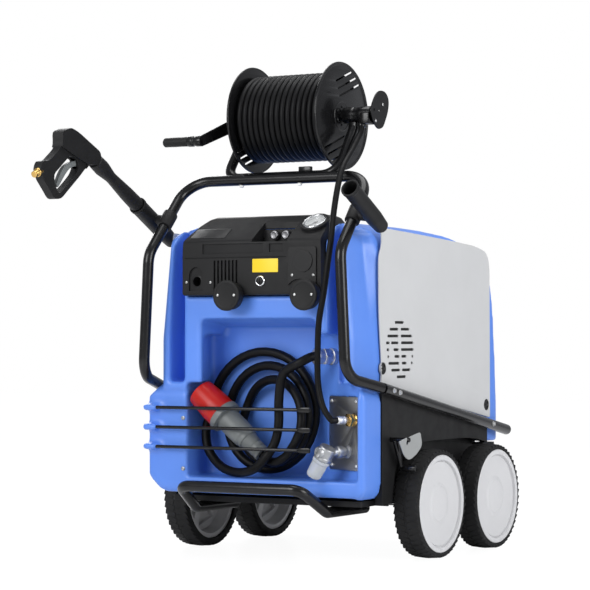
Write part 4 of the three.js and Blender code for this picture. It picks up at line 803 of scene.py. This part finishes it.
class WASHER_OT_frame(bpy.types.Operator):
    """Push handle, side rails, bumper, stowage rods and reel stand"""

    bl_idname = "washer.make_frame"
    bl_label = "Frame tubes"

    def execute(self, context):
        radius = context.scene.washer_sizes.tube_radius
        handle = both_sides([(352.4, -420.5, 470), (318, -556, 500, 62), (302, -555, 832, 70), (292, -372, 1040, 78)])
        place("push_handle", swept(bent(handle, 12), radius, 28), "frame", "machine", "handle_frame", 50)
        front, rear = V(353.4, -416, 469), V(353.4, 356, 331.5)
        length = (rear - front).length
        round_end = [(4 + 11 * math.cos(a * 0.26), length - 10 + 10 * math.sin(a * 0.26)) for a in range(1, 6)]
        rail = lathe([(0, 0), (15, 0), (15, length - 10), *round_end, (0, length)], front, rear - front, 28)
        for side, label in ((1, "right"), (-1, "left")):
            place(f"rail_{label}", on_side(rail.copy(), side), "frame", "machine",
                  f"side_rail_{label}", 50)
        bumper = both_sides([(208, -250, 137), (208, -462, 137, 30), (189, -570, 202, 34)])
        place("bumper", swept(bent(bumper, 10), radius, 28), "frame", "machine", "bumper_bar", 50)
        for level, z in (("bottom", 303), ("middle", 357), ("top", 411)):
            flat = [(142, z - 3), (154, z - 7, 8), (184, z - 7, 6), (184, z + 7, 6), (154, z + 7, 8), (142, z + 3)]
            tip = plate([rounded(flat, 5)], 5, (X, Z, -Y), V(0, -506.5, 0), 1.0)
            rod = joined(bar(V(-326, -509, z), V(146, -509, z), 4.75, 20, 0.5), tip)
            place(f"rod_{level}", rod, "frame", "machine", f"stowage_rod_{level}", 50)
        spots = [(V(367.4, y, 469 - (y + 416) * 0.1781), X) for y in (-378, -345, 232)]
        scattered("rail_bolts", hex_bolt(5.5, 4), spots, "steel")
        spots = [(V(x, -372, 1026), -Z) for x in (-115, 73)]
        scattered("bar_bolts", hex_bolt(6.5, 5), spots, "steel")

        y, z = REEL.y, REEL.z
        tube = swept(bent([(-158, y - 2, z - 8), (-186, -339, 1048, 34), (172, -339, 1048, 56), (182, y - 6, z - 34)], 10), 14, 28)
        eye = lathe(eased([(12.5, 0), (23, 0), (23, 21), (12.5, 21), (12.5, 0)], 1.5, 2), V(-169, y, z), X, 40)
        saddle = block(V(170, y - 17, z - 40), V(194, y + 5, z - 19.3), 2)
        lug = block(V(49, -341, 1056), V(87, -327, 1074), 2)
        place("reel_bracket", joined(tube, eye, saddle, lug), "frame", "machine", "reel_stand", 50)
        return {"FINISHED"}


# ---------------------------------------------------------------- wheels
def tread_form(lugs):
    holder = bpy.data.objects.new("tread", bpy.data.meshes.new("tread"))
    bpy.context.scene.collection.objects.link(holder)
    tree = Tree("tread_blocks", {"Lugs": lugs, "Radius": 144.6, "Slant": 0.32}, "tyre")
    rows = []
    for side in (-1, 1):
        ring = tree.add("GeometryNodeMeshCircle", Vertices=tree.size("Lugs"), Radius=tree.size("Radius"))
        cube = tree.add("GeometryNodeMeshCube", Size=(11.5, 15.0, 33.0))
        slant = tree.add("ShaderNodeMath", {"operation": "MULTIPLY"})
        tree.tree.links.new(tree.size("Slant"), slant.inputs[0])
        slant.inputs[1].default_value = side
        angle = tree.add("ShaderNodeCombineXYZ", X=slant.outputs[0])
        tilted = tree.add("GeometryNodeTransform", Geometry=cube.outputs[0], Rotation=angle.outputs[0])
        tilted.inputs["Translation"].default_value = (0, 0, side * 19.0)
        facing = tree.add("FunctionNodeAlignRotationToVector", {"axis": "X"})
        place_at = tree.add("GeometryNodeInputPosition")
        tree.tree.links.new(place_at.outputs[0], facing.inputs["Vector"])
        spread = tree.add("GeometryNodeInstanceOnPoints", Points=ring.outputs[0],
                          Instance=tilted.outputs[0], Rotation=facing.outputs[0])
        half = tree.add("GeometryNodeTransform", Geometry=spread.outputs[0])
        half.inputs["Rotation"].default_value = (0, 0, 0 if side < 0 else math.pi / lugs)
        rows.append(half.outputs[0])
    both = tree.tree.nodes.new("GeometryNodeJoinGeometry")
    for row in rows:
        tree.tree.links.new(row, both.inputs[0])
    form = tree.bake(both.outputs[0], holder)
    for vert in form.verts:
        x, y, z = vert.co
        r = math.hypot(x, y)
        # The crown falls off towards the shoulders.
        top = 149.4 - 4.2 * max(0.0, (abs(z) - 20) / 18) ** 2
        if r > 146:
            x, y = x * top / r, y * top / r
        vert.co = V(370 + z, x, y)
    return form


class WASHER_OT_wheels(bpy.types.Operator):
    """Tyres with their tread blocks, and dished wheel discs"""

    bl_idname = "washer.make_wheels"
    bl_label = "Wheels"

    def execute(self, context):
        lugs = context.scene.washer_sizes.tread_lugs
        carcass = lathe([(126.3, 1), (133, 0.6), (142.5, 3), (146.6, 8), (147.6, 16), (147.6, 60),
                         (146.6, 68), (142.5, 73), (134.3, 75.6), (134.3, 68), (126.3, 68), (126.3, 1)], WHEEL_BACK, X, 96)
        tyre = joined(carcass, tread_form(lugs))
        disc = lathe(eased([(0, 20), (30, 20), (34, 42), (104, 42), (112, 8), (126, 8), (126, 68.3), (134, 68.3),
                            (134, 73.6), (131, 76), (121, 75.4), (119.6, 74.6), (118.8, 66), (115.8, 66), (115, 69.2),
                            (112, 68.6), (58, 64.8), (50, 66.4), (46, 68.5), (14, 69.8), (0, 69.8)], 1.6, 3),
                     WHEEL_BACK, X, 96)
        pockets = []
        for i in range(5):
            corners = [(r, math.radians(72 * i + a)) for r, a in ((44, -20), (94, -27), (94, 27), (44, 20))]
            wedge = [(r * math.cos(a), r * math.sin(a), 8) for r, a in corners]
            pockets.append(plate([rounded(wedge, 4)], 46, (Y, Z, X), V(342, 0, 0), 0.01))
        pockets.append(bar(V(327, 0, 0), V(390, 0, 0), 10.6, 24, 0.01))
        disc = carved(disc, *pockets)
        for end, y in (("front", -AXLE_Y), ("rear", AXLE_Y)):
            for side, sign in (("left", -1), ("right", 1)):
                for part, form, slot in (("tyre", tyre, "tread_rubber"), ("rim", disc, "rim_plastic")):
                    copy = on_side(form.copy(), sign)
                    for vert in copy.verts:
                        vert.co += V(0, y, WHEEL_HEIGHT)
                    node = f"{part}_{end}_{side}"
                    place(f"{node}_finished", copy, part, f"wheel_{end}_{side}", node, 32)
        tyre.free()
        disc.free()
        return {"FINISHED"}


# ---------------------------------------------------------------- hose reel
class WASHER_OT_reel(bpy.types.Operator):
    """Reel discs, wound hose, swivel, crank and grip"""

    bl_idname = "washer.make_reel"
    bl_label = "Hose reel"

    def execute(self, context):
        sizes = context.scene.washer_sizes
        holder = bpy.data.objects.new("winding", bpy.data.meshes.new("winding"))
        context.scene.collection.objects.link(holder)
        turns = sizes.hose_turns
        tree = Tree("hose_layer", {"Turns": float(turns), "Layer radius": 114.0, "Width": HOSE_PITCH * turns,
                                   "Hose radius": sizes.hose_radius}, "hose")
        line = tree.add("GeometryNodeCurveSpiral", Resolution=56, Rotations=tree.size("Turns"),
                        Start_Radius=tree.size("Layer radius"), End_Radius=tree.size("Layer radius"), Height=tree.size("Width"))
        section = tree.add("GeometryNodeCurvePrimitiveCircle", Resolution=14, Radius=tree.size("Hose radius"))
        hose = tree.add("GeometryNodeCurveToMesh", Curve=line.outputs[0], Profile_Curve=section.outputs[0], Fill_Caps=True)
        winding = tree.bake(hose.outputs[0], holder)
        for vert in winding.verts:
            x, y, z = vert.co
            vert.co = REEL + V(z - HOSE_PITCH * turns / 2, x, y)
        place("wound_hose", winding, "hose", "reel", "hose_winding")

        lean = math.radians(20)
        slots = []
        for half in (-1, 1):
            for near, far, up in ((0, 97, 100), (4, 115, 78), (5, 126, 56)):
                corners = [(near, up - 2.6), (far, up - 2.6), (far, up + 2.6), (near, up + 2.6)]
                slots.append(rounded([(half * (a * math.cos(lean) - b * math.sin(lean)),
                                       half * (a * math.sin(lean) + b * math.cos(lean)), 2.4) for a, b in corners], 3))
        face = plate([ring_points(147, count=96), ring_points(12.4, count=32), *slots], 3, (Y, Z, X), REEL_DISC, 0.5)
        roll = lathe([(147 + 3 * math.cos(a * math.tau / 12), 1.5 + 3 * math.sin(a * math.tau / 12) + 0.8) for a in range(13)],
                     REEL_DISC, X, 96)
        ribs = [lathe(eased([(r - 3, 2.6), (r - 1, 4.2), (r + 1, 4.2), (r + 3, 2.6)], 0.6, 2), REEL_DISC, X, 96)
                for r in (40, 143)]
        flange = joined(face, roll, *ribs)
        for side, label in ((1, "right"), (-1, "left")):
            place(f"disc_{label}", on_side(flange.copy(), side), "frame", "reel",
                  f"reel_flange_{label}", 40)
        core = lathe(eased([(0, -189), (12, -189), (12, -137.7), (96, -137.7), (96, 137.7), (12, 137.7),
                            (12, 194), (0, 194)], 0.8, 1), REEL, X, 64)
        place("drum", core, "plastic", "reel", "reel_core", 40)
        bolts = [(REEL + V(141, 26 * math.cos(math.radians(a)), 26 * math.sin(math.radians(a))), X)
                 for a in range(30, 390, 60)]
        screws("disc_screws", bolts + [(V(-p.x, p.y, p.z), -X) for p, _ in bolts], "frame", 4.2, 2.4, "reel", False)

        y, z = REEL.y, REEL.z
        barrel = lathe(eased([(12.6, 0), (23, 0), (23, 30), (21, 33), (21, 50), (23, 53),
                              (23, 86), (0, 86), (0, 48), (12.6, 46), (12.6, 0)], 1.2, 2), V(150, y, z), X, 48)
        body = plate([rounded([(y - 24, z - 27, 6), (y + 22, z - 27, 6), (y + 22, z + 6, 6), (y - 24, z + 6, 6)], 5)],
                     26, (Y, Z, X), V(210, 0, 0), 1.5)
        boss = bar(V(209, y, z), V(209, y - 11, z - 34), 11, 32, 1.2)
        place("swivel", joined(barrel, body, boss), "frame", "machine", "reel_swivel", 40)
        egg = rounded([(-275, 1224, 10), (-256, 1192, 14), (-230, 1176, 12), (-202, 1184, 12), (-173, 1230, 20), (-168, 1264, 18),
                       (-188, 1284, 14), (-220, 1286, 14), (-244, 1274, 14), (-262, 1250, 10)], 8)
        holes = [ring_points(4, (-254.5, 1229), 16), ring_points(4, (-223.5, 1229), 16)]
        place("end_plate", plate([egg, *holes], 4, (Y, Z, X), V(236.3, 0, 0), 0.8),
              "soft_plastic", "machine", "reel_end_plate", 12)
        screws("end_plate_screws", [(V(240.2, -206, 1247), X), (V(240.2, -246, 1199), X)], "steel", 4.0, 2.0)

        along = V(0, -0.923, -0.384).normalized()
        tip = REEL + V(-217, 0, 0) + along * 170
        run = (V(-33, 0, 0) + along * 170).normalized()
        across = V(0, along.z, -along.y)
        arm = plate([rounded([(0, -19), (176, -15, 12), (188, 0, 14), (176, 15, 12), (0, 19)], 7)], 6,
                    (run, across, run.cross(across)), REEL + V(-184, 0, 0), 1.2)
        hub = lathe(eased([(12.6, 0), (20, 0), (20, 17.7), (0, 17.7), (0, 15), (12.6, 15), (12.6, 0)], 1.2, 2),
                    V(-174.3, y, z), -X, 40)
        collar = lathe(eased([(0, 0), (15, 0), (15, 18), (13.4, 20), (13.4, 26), (15, 28), (15, 44), (0, 44)], 1.0, 2), tip, -X, 36)
        pin = bar(tip, V(-345.5, tip.y, tip.z), 6, 24, 1.0)
        place("crank", joined(arm, hub, collar, pin), "frame", "reel", "crank_arm", 40)
        start = tip + V(-44.3, 0, 0)
        length = start.x + 343
        grip = lathe(eased([(6.4, 0), (12.4, 0), (13.5, 3), (13.1, length * 0.3), (13.5, length * 0.55),
                            (13, length - 12), (13.2, length - 4), (10, length), (6.4, length), (6.4, 0)], 1.5, 3), start, -X, 40)
        place("grip_finished", grip, "plastic", "grip", "crank_grip", 40)
        return {"FINISHED"}


# ---------------------------------------------------------------- console
# The lids stand 30 mm to the right of the solids, where the machine carries them.
POSTS = (-57, 184)


class WASHER_OT_console(bpy.types.Operator):
    """Console details: dial, knobs, switch, posts, bare plate, louvres and screws"""

    bl_idname = "washer.make_console"
    bl_label = "Console"

    def execute(self, context):
        y = -512.0
        sign = rounded([(6, 779.3, 2), (86.5, 779.3, 2), (86.5, 815.7, 2), (6, 815.7, 2)], 3)
        place("bare_plate", plate([sign], 0.8, (X, Z, -Y), V(0, y + 0.2, 0), 0.2),
              "yellow", "machine")
        inset = rounded([(-202, 14, 4), (-91, 14, 4), (-91, 62, 4), (-202, 62, 4)], 3)
        place("slope_plate", plate([inset], 1.2, (X, SLOPE_UP, SLOPE_OUT),
                                   on_slope(0, 0, -0.3), 0.3), "soft_plastic", "machine")
        blades = [(V(-115 + 11.7 * i, y + 7.5, 773), V(-0.5, -0.85, 0)) for i in range(7)]
        blade = block(V(-0.8, -39.5, -3.4), V(0.8, 39.5, 3.4), 0.3)
        scattered("louvre_blades", blade, blades, "soft_plastic")
        spots = [(V(x, y, z), -Y) for x, z in ((-206, 755), (-128.3, 754))]
        spots += [(V(x, y - 4.3, z), -Y) for x, z in ((133, 770.6), (198, 769.8))]
        spots += [(V(x + turn, y - 35.2, 718), -Y) for x in POSTS for turn in (-26, 26)]
        screws("console_screws", spots, "steel", 3.6, 1.6)
        post_profile = [(0, 0), (16, 0), (16, 18.7), (38.5, 22.7), (38.5, 40.7), (41.5, 42.7),
                        (41.5, 51.2), (39.5, 52.7), (33, 52.7), (31.5, 51.6), (0, 51.2)]
        for label, x in zip(("left", "right"), POSTS):
            place(f"post_{label}", lathe(eased(post_profile, 1.0, 2), V(x, -495.3, 717), -Y, 56), "plastic", "machine",
                  f"cord_post_{label}", 40)

        cx, up = 167, 75
        case = lathe(eased([(0, -12), (33, -12), (33, 10), (31.5, 12), (29, 12), (28, 10), (28, 3), (0, 3)], 0.8, 2),
                     on_slope(cx, up, 0), SLOPE_OUT, 56)
        place("dial_case", case, "chrome", "machine", "gauge_case", 40)
        place("dial", lathe([(0, 3.05), (27.6, 3.05), (27.6, 3.15), (0, 3.15)],
                     on_slope(cx, up, 0), SLOPE_OUT, 48), "dial", "machine")
        marks = []
        for i in range(28):
            angle = math.radians(225 - 10 * i)
            outward = X * math.cos(angle) + SLOPE_UP * math.sin(angle)
            long = 5.0 if i % 3 == 0 else 2.6
            sideways = SLOPE_OUT.cross(outward)
            marks.append(plate([[(22 - long, -0.4), (24.6, -0.4), (24.6, 0.4), (22 - long, 0.4)]], 0.12, (outward, sideways, SLOPE_OUT),
                               on_slope(cx, up, 3.12), 0.02))
        place("dial_marks", joined(*marks), "dark", "machine")
        place("dial_glass", lathe([(0, 9.0), (28, 9.0), (28, 10.0), (0, 10.0)],
                     on_slope(cx, up, 0), SLOPE_OUT, 48), "glass", "machine")

        for body, node, kx in (("pressure_dial", "pressure_knob", 42), ("temperature_dial", "temperature_knob", 78)):
            knob = lathe(eased([(0, -5), (4, -5), (4, 0), (12, 0), (13, 3), (12, 13), (10, 15), (7.5, 15), (7, 14.2), (0, 14.2)], 0.6, 2),
                         V(kx, -446, 881), -Y, 40)
            ridge = block(V(-0.5, -0.6, 2.5), V(0.5, 0.3, 12.5), 0.2)
            spots = [(V(kx + 12.2 * math.cos(a * math.tau / 24), -446, 881 + 12.2 * math.sin(a * math.tau / 24)), -Y)
                     for a in range(24)]
            mark = block(V(kx - 0.7, -460.4, 884), V(kx + 0.7, -459.9, 891), 0.1)
            grips = repeated(f"{node}_ridges", ridge, spots, "knob")
            place(f"{node}_finished", joined(knob, grips, mark), "knob", body, node, 40)
        ring = lathe(eased([(10.5, 0), (15, 0), (15, 3), (13, 6), (10.5, 6), (10.5, 0)], 0.6, 2), V(32, y - 0.3, 756), -Y, 40)
        place("key_ring", ring, "chrome", "machine", "switch_ring", 40)
        barrel = lathe(eased([(0, 0), (10, 0), (10, 28), (8.5, 29.5), (0, 29.5)], 0.6, 2), V(32, y + 20, 756), -Y, 36)
        lever = block(V(29.4, y - 14, 747), V(34.6, y - 8, 765), 1.2)
        place("key_knob", joined(barrel, lever), "soft_plastic", "key_switch", "switch_knob", 40)
        socket = lathe(eased([(13.5, 0), (16.8, 0), (16.8, 36), (0, 36), (0, 34), (13.5, 34), (13.5, 0)], 0.6, 2),
                       V(-176, y + 6.5, 757), Y, 40)
        place("socket_liner", socket, "soft_plastic", "machine", (), 40)
        return {"FINISHED"}


# ---------------------------------------------------------------- fittings in the bay
class WASHER_OT_fittings(bpy.types.Operator):
    """Cable gland, outlet plate, union, inlet filter and mains plug"""

    bl_idname = "washer.make_fittings"
    bl_label = "Bay fittings"

    def execute(self, context):
        nut = plate([ring_points(24, count=6)], 17, (SLANT_ALONG, Z, SLANT_OUT), on_slant(119, 22, 553), 1.2)
        tube = lathe(eased([(12.9, 10), (20, 10), (20, 0.3), (23, 0.3), (23, 13), (19, 14), (19, 22), (20, 40), (20, 52), (22, 53),
                            (22, 61), (17, 64), (12.9, 64), (12.9, 10)], 0.9, 2), on_slant(119, 0, 553), SLANT_OUT, 44)
        place("gland_finished", joined(tube, nut), "steel", "machine", "cable_gland", 40)
        holes = [ring_points(10.5, (28, 385), 32), ring_points(11.5, (55, 300), 32)]
        corners = rounded([(6, 250, 6), (146, 250, 6), (146, 446, 6), (6, 446, 6)], 4)
        place("outlet_sheet", plate([corners, *holes], 3, (SLANT_ALONG, Z, SLANT_OUT),
                                    on_slant(0, -4.7, 0), 0.5), "plate", "machine", "outlet_plate")
        screws("plate_screws", [(on_slant(a, -1.7, z), SLANT_OUT) for a in (18, 134) for z in (262, 434)], "steel", 5.5, 3.0)
        hexes = plate([ring_points(19, count=6)], 11, (SLANT_ALONG, Z, SLANT_OUT), on_slant(28, 7, 385), 0.8)
        stem = lathe(eased([(0, -14), (10, -14), (10, -1.4), (17, -1.4), (17, 0), (13, 2), (13, 20), (0, 20)], 0.7, 2),
                     on_slant(28, 0, 385), SLANT_OUT, 40)
        place("union_finished", joined(stem, hexes), "brass", "machine", "outlet_union", 40)
        crimp = lathe(eased([(0, 0), (8, 0), (8, 6), (11, 8), (11, 12), (10.2, 13), (10.2, 16), (11, 17), (11, 30), (9, 32), (0, 32)], 0.5, 2),
                      on_slant(28, 20.3, 385), SLANT_OUT, 36)
        place("crimp_finished", crimp, "steel", "machine", "hose_crimp", 40)

        top = on_slant(55, 70, 300)
        down = V(-0.529, 0.025, -0.849).normalized()
        stem = lathe(eased([(0, -14), (11, -14), (11, -1.4), (18, -1.4), (18, 4), (12, 5), (12, 16), (16, 17), (16, 34), (11, 36),
                            (11, 62), (0, 62)], 0.8, 2), on_slant(55, 0, 300), SLANT_OUT, 36)
        head = lathe(eased([(0, -16), (21, -16), (23, -13), (23, 10), (25, 12), (25, 20), (23, 22), (0, 22)], 1.2, 2), top, down, 48)
        ear = lathe(eased([(0, -14), (17, -14), (17, 20), (15, 27), (11, 27), (11, 22), (0, 22)], 1.2, 2), top, SLANT_OUT, 40)
        place("filter_finished", joined(stem, head, ear), "cast", "machine", "filter_head", 40)
        bowl = lathe(eased([(0, 0), (24, 0), (24, 8), (22, 10), (21, 48), (18, 54), (0, 56)], 1.5, 3), top + down * 22.3, down, 48)
        place("bowl_finished", bowl, "clear", "machine", "filter_bowl", 40)

        aim = PLUG_FACE - PLUG_TAIL
        body = lathe(eased([(12.9, 0), (21, 0), (23, 3), (23, 12), (21.5, 14), (23, 16), (23, 28), (21.5, 30), (23, 32), (26, 58),
                            (30, 60), (30, 70), (33, 76), (34, 100), (34, 150), (47, 151), (47, 168), (0, 168), (0, 22), (12.9, 22), (12.9, 0)], 1.0, 2), PLUG_TAIL, aim, 56)
        place("plug_finished", body, "grey", "machine", "plug_body", 40)
        u, v, w = basis_along(aim)
        collar = lathe(eased([(0, 168.3), (43, 168.3), (44, 172), (44, 205), (41, 240), (39, 262), (34, 262), (34, 190), (0, 190)],
                             1.2, 3), PLUG_TAIL, aim, 56)
        place("collar_finished", collar, "red", "machine", "plug_collar", 40)
        pins = [(PLUG_TAIL + w * 190 + around(u, v, math.tau * i / 5) * 20, w) for i in range(5)]
        shape = lathe(eased([(0, 0), (3.2, 0), (3.2, 34), (2, 36), (0, 36)], 0.6, 2), V(0, 0, 0), Z, 16)
        scattered("plug_pins", shape, pins, "brass")
        return {"FINISHED"}


# ---------------------------------------------------------------- gun and holders
GUN_ORIGIN = V(-354, -535, 970) - BARREL_DOWN * 232 + BARREL_UP * 8


def in_gun(s, t, x=0):
    return GUN_ORIGIN + BARREL_DOWN * s + BARREL_UP * t + V(x, 0, 0)


class WASHER_OT_gun(bpy.types.Operator):
    """Trigger gun with its barrel, and the two lance holders"""

    bl_idname = "washer.make_gun"
    bl_label = "Gun and holders"

    def execute(self, context):
        barrel = lathe(eased([(0, -16), (14, -16), (14, 2.3), (21, 2.3), (22, 40), (16, 84), (16, 96), (20, 170), (21, 226), (17, 236),
                              (10, 240), (10, 330), (0, 332)], 4, 3), in_gun(0, -8), BARREL_DOWN, 40)
        place("barrel_finished", barrel, "plastic", "gun", "gun_barrel", 50)
        origin = in_gun(-182, -149)
        run = in_gun(-212, -186) - origin
        nipple = lathe(eased([(0, 0), (8, 0), (8, 16), (12, 17), (12, 30), (9, 32),
                              (9, 35), (7.8, 36), (9, 37), (7.8, 39), (9, 41), (7.8, 43), (9, 45), (0, 46)], 0.5, 1),
                       origin, run, 32)
        place("nipple_finished", nipple, "brass", "gun", "gun_nipple", 40)

        # Holders: an open sleeve with a flange at its mouth, an arm and a clamp round the handle tube.
        shoulder, top = V(302, -555, 832), V(292, -372, 1040)
        run = (top - shoulder).normalized()
        crossing = shoulder + run * (85 / run.y)
        for label, side, spot in (("right", 1, V(354, -598, 992)), ("left", -1, V(354, -535, 970))):
            sleeve = lathe(eased([(20.4, 60), (20.4, 0), (25, 0), (25, 9), (23.4, 11), (23, 150), (19.5, 197), (14, 205),
                                  (0, 206), (0, 199), (12, 190), (20.4, 60)], 1.2, 2), spot, BARREL_DOWN, 44)
            on_axis = spot + BARREL_DOWN * (crossing - spot).dot(BARREL_DOWN)
            whole = joined(sleeve, bar(crossing - run * 24, crossing + run * 24, 20.5, 40, 1.5),
                           bar(crossing, on_axis - X * 21.4, 13, 32, 1.0))
            place(f"holder_{label}_finished", on_side(whole, side), "plastic", "machine",
                  f"holder_{label}", 40)
        return {"FINISHED"}


# ---------------------------------------------------------------- wheel brake
class WASHER_OT_brake(bpy.types.Operator):
    """Foot plate, shaft, arm and shoe of the wheel brake"""

    bl_idname = "washer.make_brake"
    bl_label = "Brake"

    def execute(self, context):
        across = V(0.299, 0.954, 0)
        face = rounded([(0, 327, 3), (19, 287, 14), (38, 275, 14), (60, 288, 5), (68, 294, 5), (87, 314, 12), (80, 350, 6), (61, 345, 4),
                        (38, 338, 3), (32, 318, 3.5), (26, 318, 3.5), (30, 337, 3)], 5)
        pedal = plate([face], 4, (across, Z, across.cross(Z)), V(378.7, -376, 0), 1.2)
        place("brake_pedal", pedal, "pale", "brake", "brake_lever", 12)
        pivot = V(0, -344, 330)
        angle = math.atan2(-180, 168) + math.radians(-16)
        reach = pivot + V(0, math.cos(angle), math.sin(angle)) * 87
        linkage = joined(bar(pivot + X * 312, pivot + X * 396, 6, 28, 0.8), bar(pivot + X * 351, reach + X * 351, 7, 28, 0.8),
                         bar(reach + X * 346, reach + X * 394, 9, 32, 1.2))
        place("brake_linkage", linkage, "frame", "brake", (), 40)
        return {"FINISHED"}


# ---------------------------------------------------------------- finishes of the CAD pieces that stay
LOOKS = {
    "chassis_tray": "plastic", "console_housing": "plastic", "module_cover": "soft_plastic", "gauge_needle": "dark",
    "axle_front": "steel", "axle_rear": "steel", "gun_body": "plastic", "gun_trigger": "grey",
    "motor": "cast", "pump": "brass", "water_heater": "steel",
}


def soft_shading():
    """Node tree that joins a CAD mesh's loose triangles and shades it smooth below an angle."""
    tree = bpy.data.node_groups.new("soft_shading", "GeometryNodeTree")
    tree.interface.new_socket("Geometry", in_out="INPUT", socket_type="NodeSocketGeometry")
    tree.interface.new_socket("Geometry", in_out="OUTPUT", socket_type="NodeSocketGeometry")
    crease = tree.interface.new_socket("Crease angle", in_out="INPUT", socket_type="NodeSocketFloat")
    crease.default_value = math.radians(32)
    entry, end = tree.nodes.new("NodeGroupInput"), tree.nodes.new("NodeGroupOutput")
    merge = tree.nodes.new("GeometryNodeMergeByDistance")
    merge.inputs["Distance"].default_value = 0.00002
    faces, edges = tree.nodes.new("GeometryNodeSetShadeSmooth"), tree.nodes.new("GeometryNodeSetShadeSmooth")
    edges.domain = "EDGE"
    edges.inputs["Shade Smooth"].default_value = False
    angle, wide = tree.nodes.new("GeometryNodeInputMeshEdgeAngle"), tree.nodes.new("FunctionNodeCompare")
    for a, b in ((entry.outputs["Geometry"], merge.inputs["Geometry"]), (merge.outputs[0], faces.inputs["Geometry"]),
                 (faces.outputs[0], edges.inputs["Geometry"]), (angle.outputs["Unsigned Angle"], wide.inputs["A"]),
                 (entry.outputs["Crease angle"], wide.inputs["B"]), (wide.outputs[0], edges.inputs["Selection"]),
                 (edges.outputs[0], end.inputs[0])):
        tree.links.new(a, b)
    return tree


class WASHER_OT_finishes(bpy.types.Operator):
    """Materials for the CAD pieces whose shape stays"""

    bl_idname = "washer.dress_cad"
    bl_label = "CAD finishes"

    def execute(self, context):
        tree = soft_shading()
        for name, look in LOOKS.items():
            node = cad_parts[name]
            if not node.material_slots:
                raise RuntimeError(f"{name} has no material slot")
            for slot in node.material_slots:
                slot.material = FINISHES[look]
            node.modifiers.new("soft_shading", "NODES").node_group = tree
        return {"FINISHED"}


# ---------------------------------------------------------------- panel and registration
OPERATORS = (WASHER_OT_stage, WASHER_OT_cords, WASHER_OT_hood, WASHER_OT_frame, WASHER_OT_wheels, WASHER_OT_reel,
             WASHER_OT_console, WASHER_OT_fittings, WASHER_OT_gun, WASHER_OT_brake, WASHER_OT_finishes)


class WASHER_PT_panel(bpy.types.Panel):
    """Sizes, colours and steps of the pressure washer"""

    bl_idname = "WASHER_PT_panel"
    bl_label = "Pressure washer"
    bl_space_type = "VIEW_3D"
    bl_region_type = "UI"
    bl_category = "Washer"

    def draw(self, context):
        for group in (context.scene.washer_sizes, context.scene.washer_colours):
            for key in group.__annotations__:
                self.layout.prop(group, key)
        for operator in OPERATORS:
            self.layout.operator(operator.bl_idname)


CLASSES = (WasherSizes, WasherColours, *OPERATORS, WASHER_PT_panel)


def register():
    for item in CLASSES:
        bpy.utils.register_class(item)
    bpy.types.Scene.washer_sizes = PointerProperty(type=WasherSizes)
    bpy.types.Scene.washer_colours = PointerProperty(type=WasherColours)


def unregister():
    del bpy.types.Scene.washer_colours
    del bpy.types.Scene.washer_sizes
    for item in reversed(CLASSES):
        bpy.utils.unregister_class(item)


def main():
    register()
    scene = bpy.context.scene
    make_finishes(scene.washer_colours, scene.washer_sizes)
    for operator in OPERATORS:
        group, call = operator.bl_idname.split(".")
        getattr(getattr(bpy.ops, group), call)()


if __name__ == "__main__":
    main()
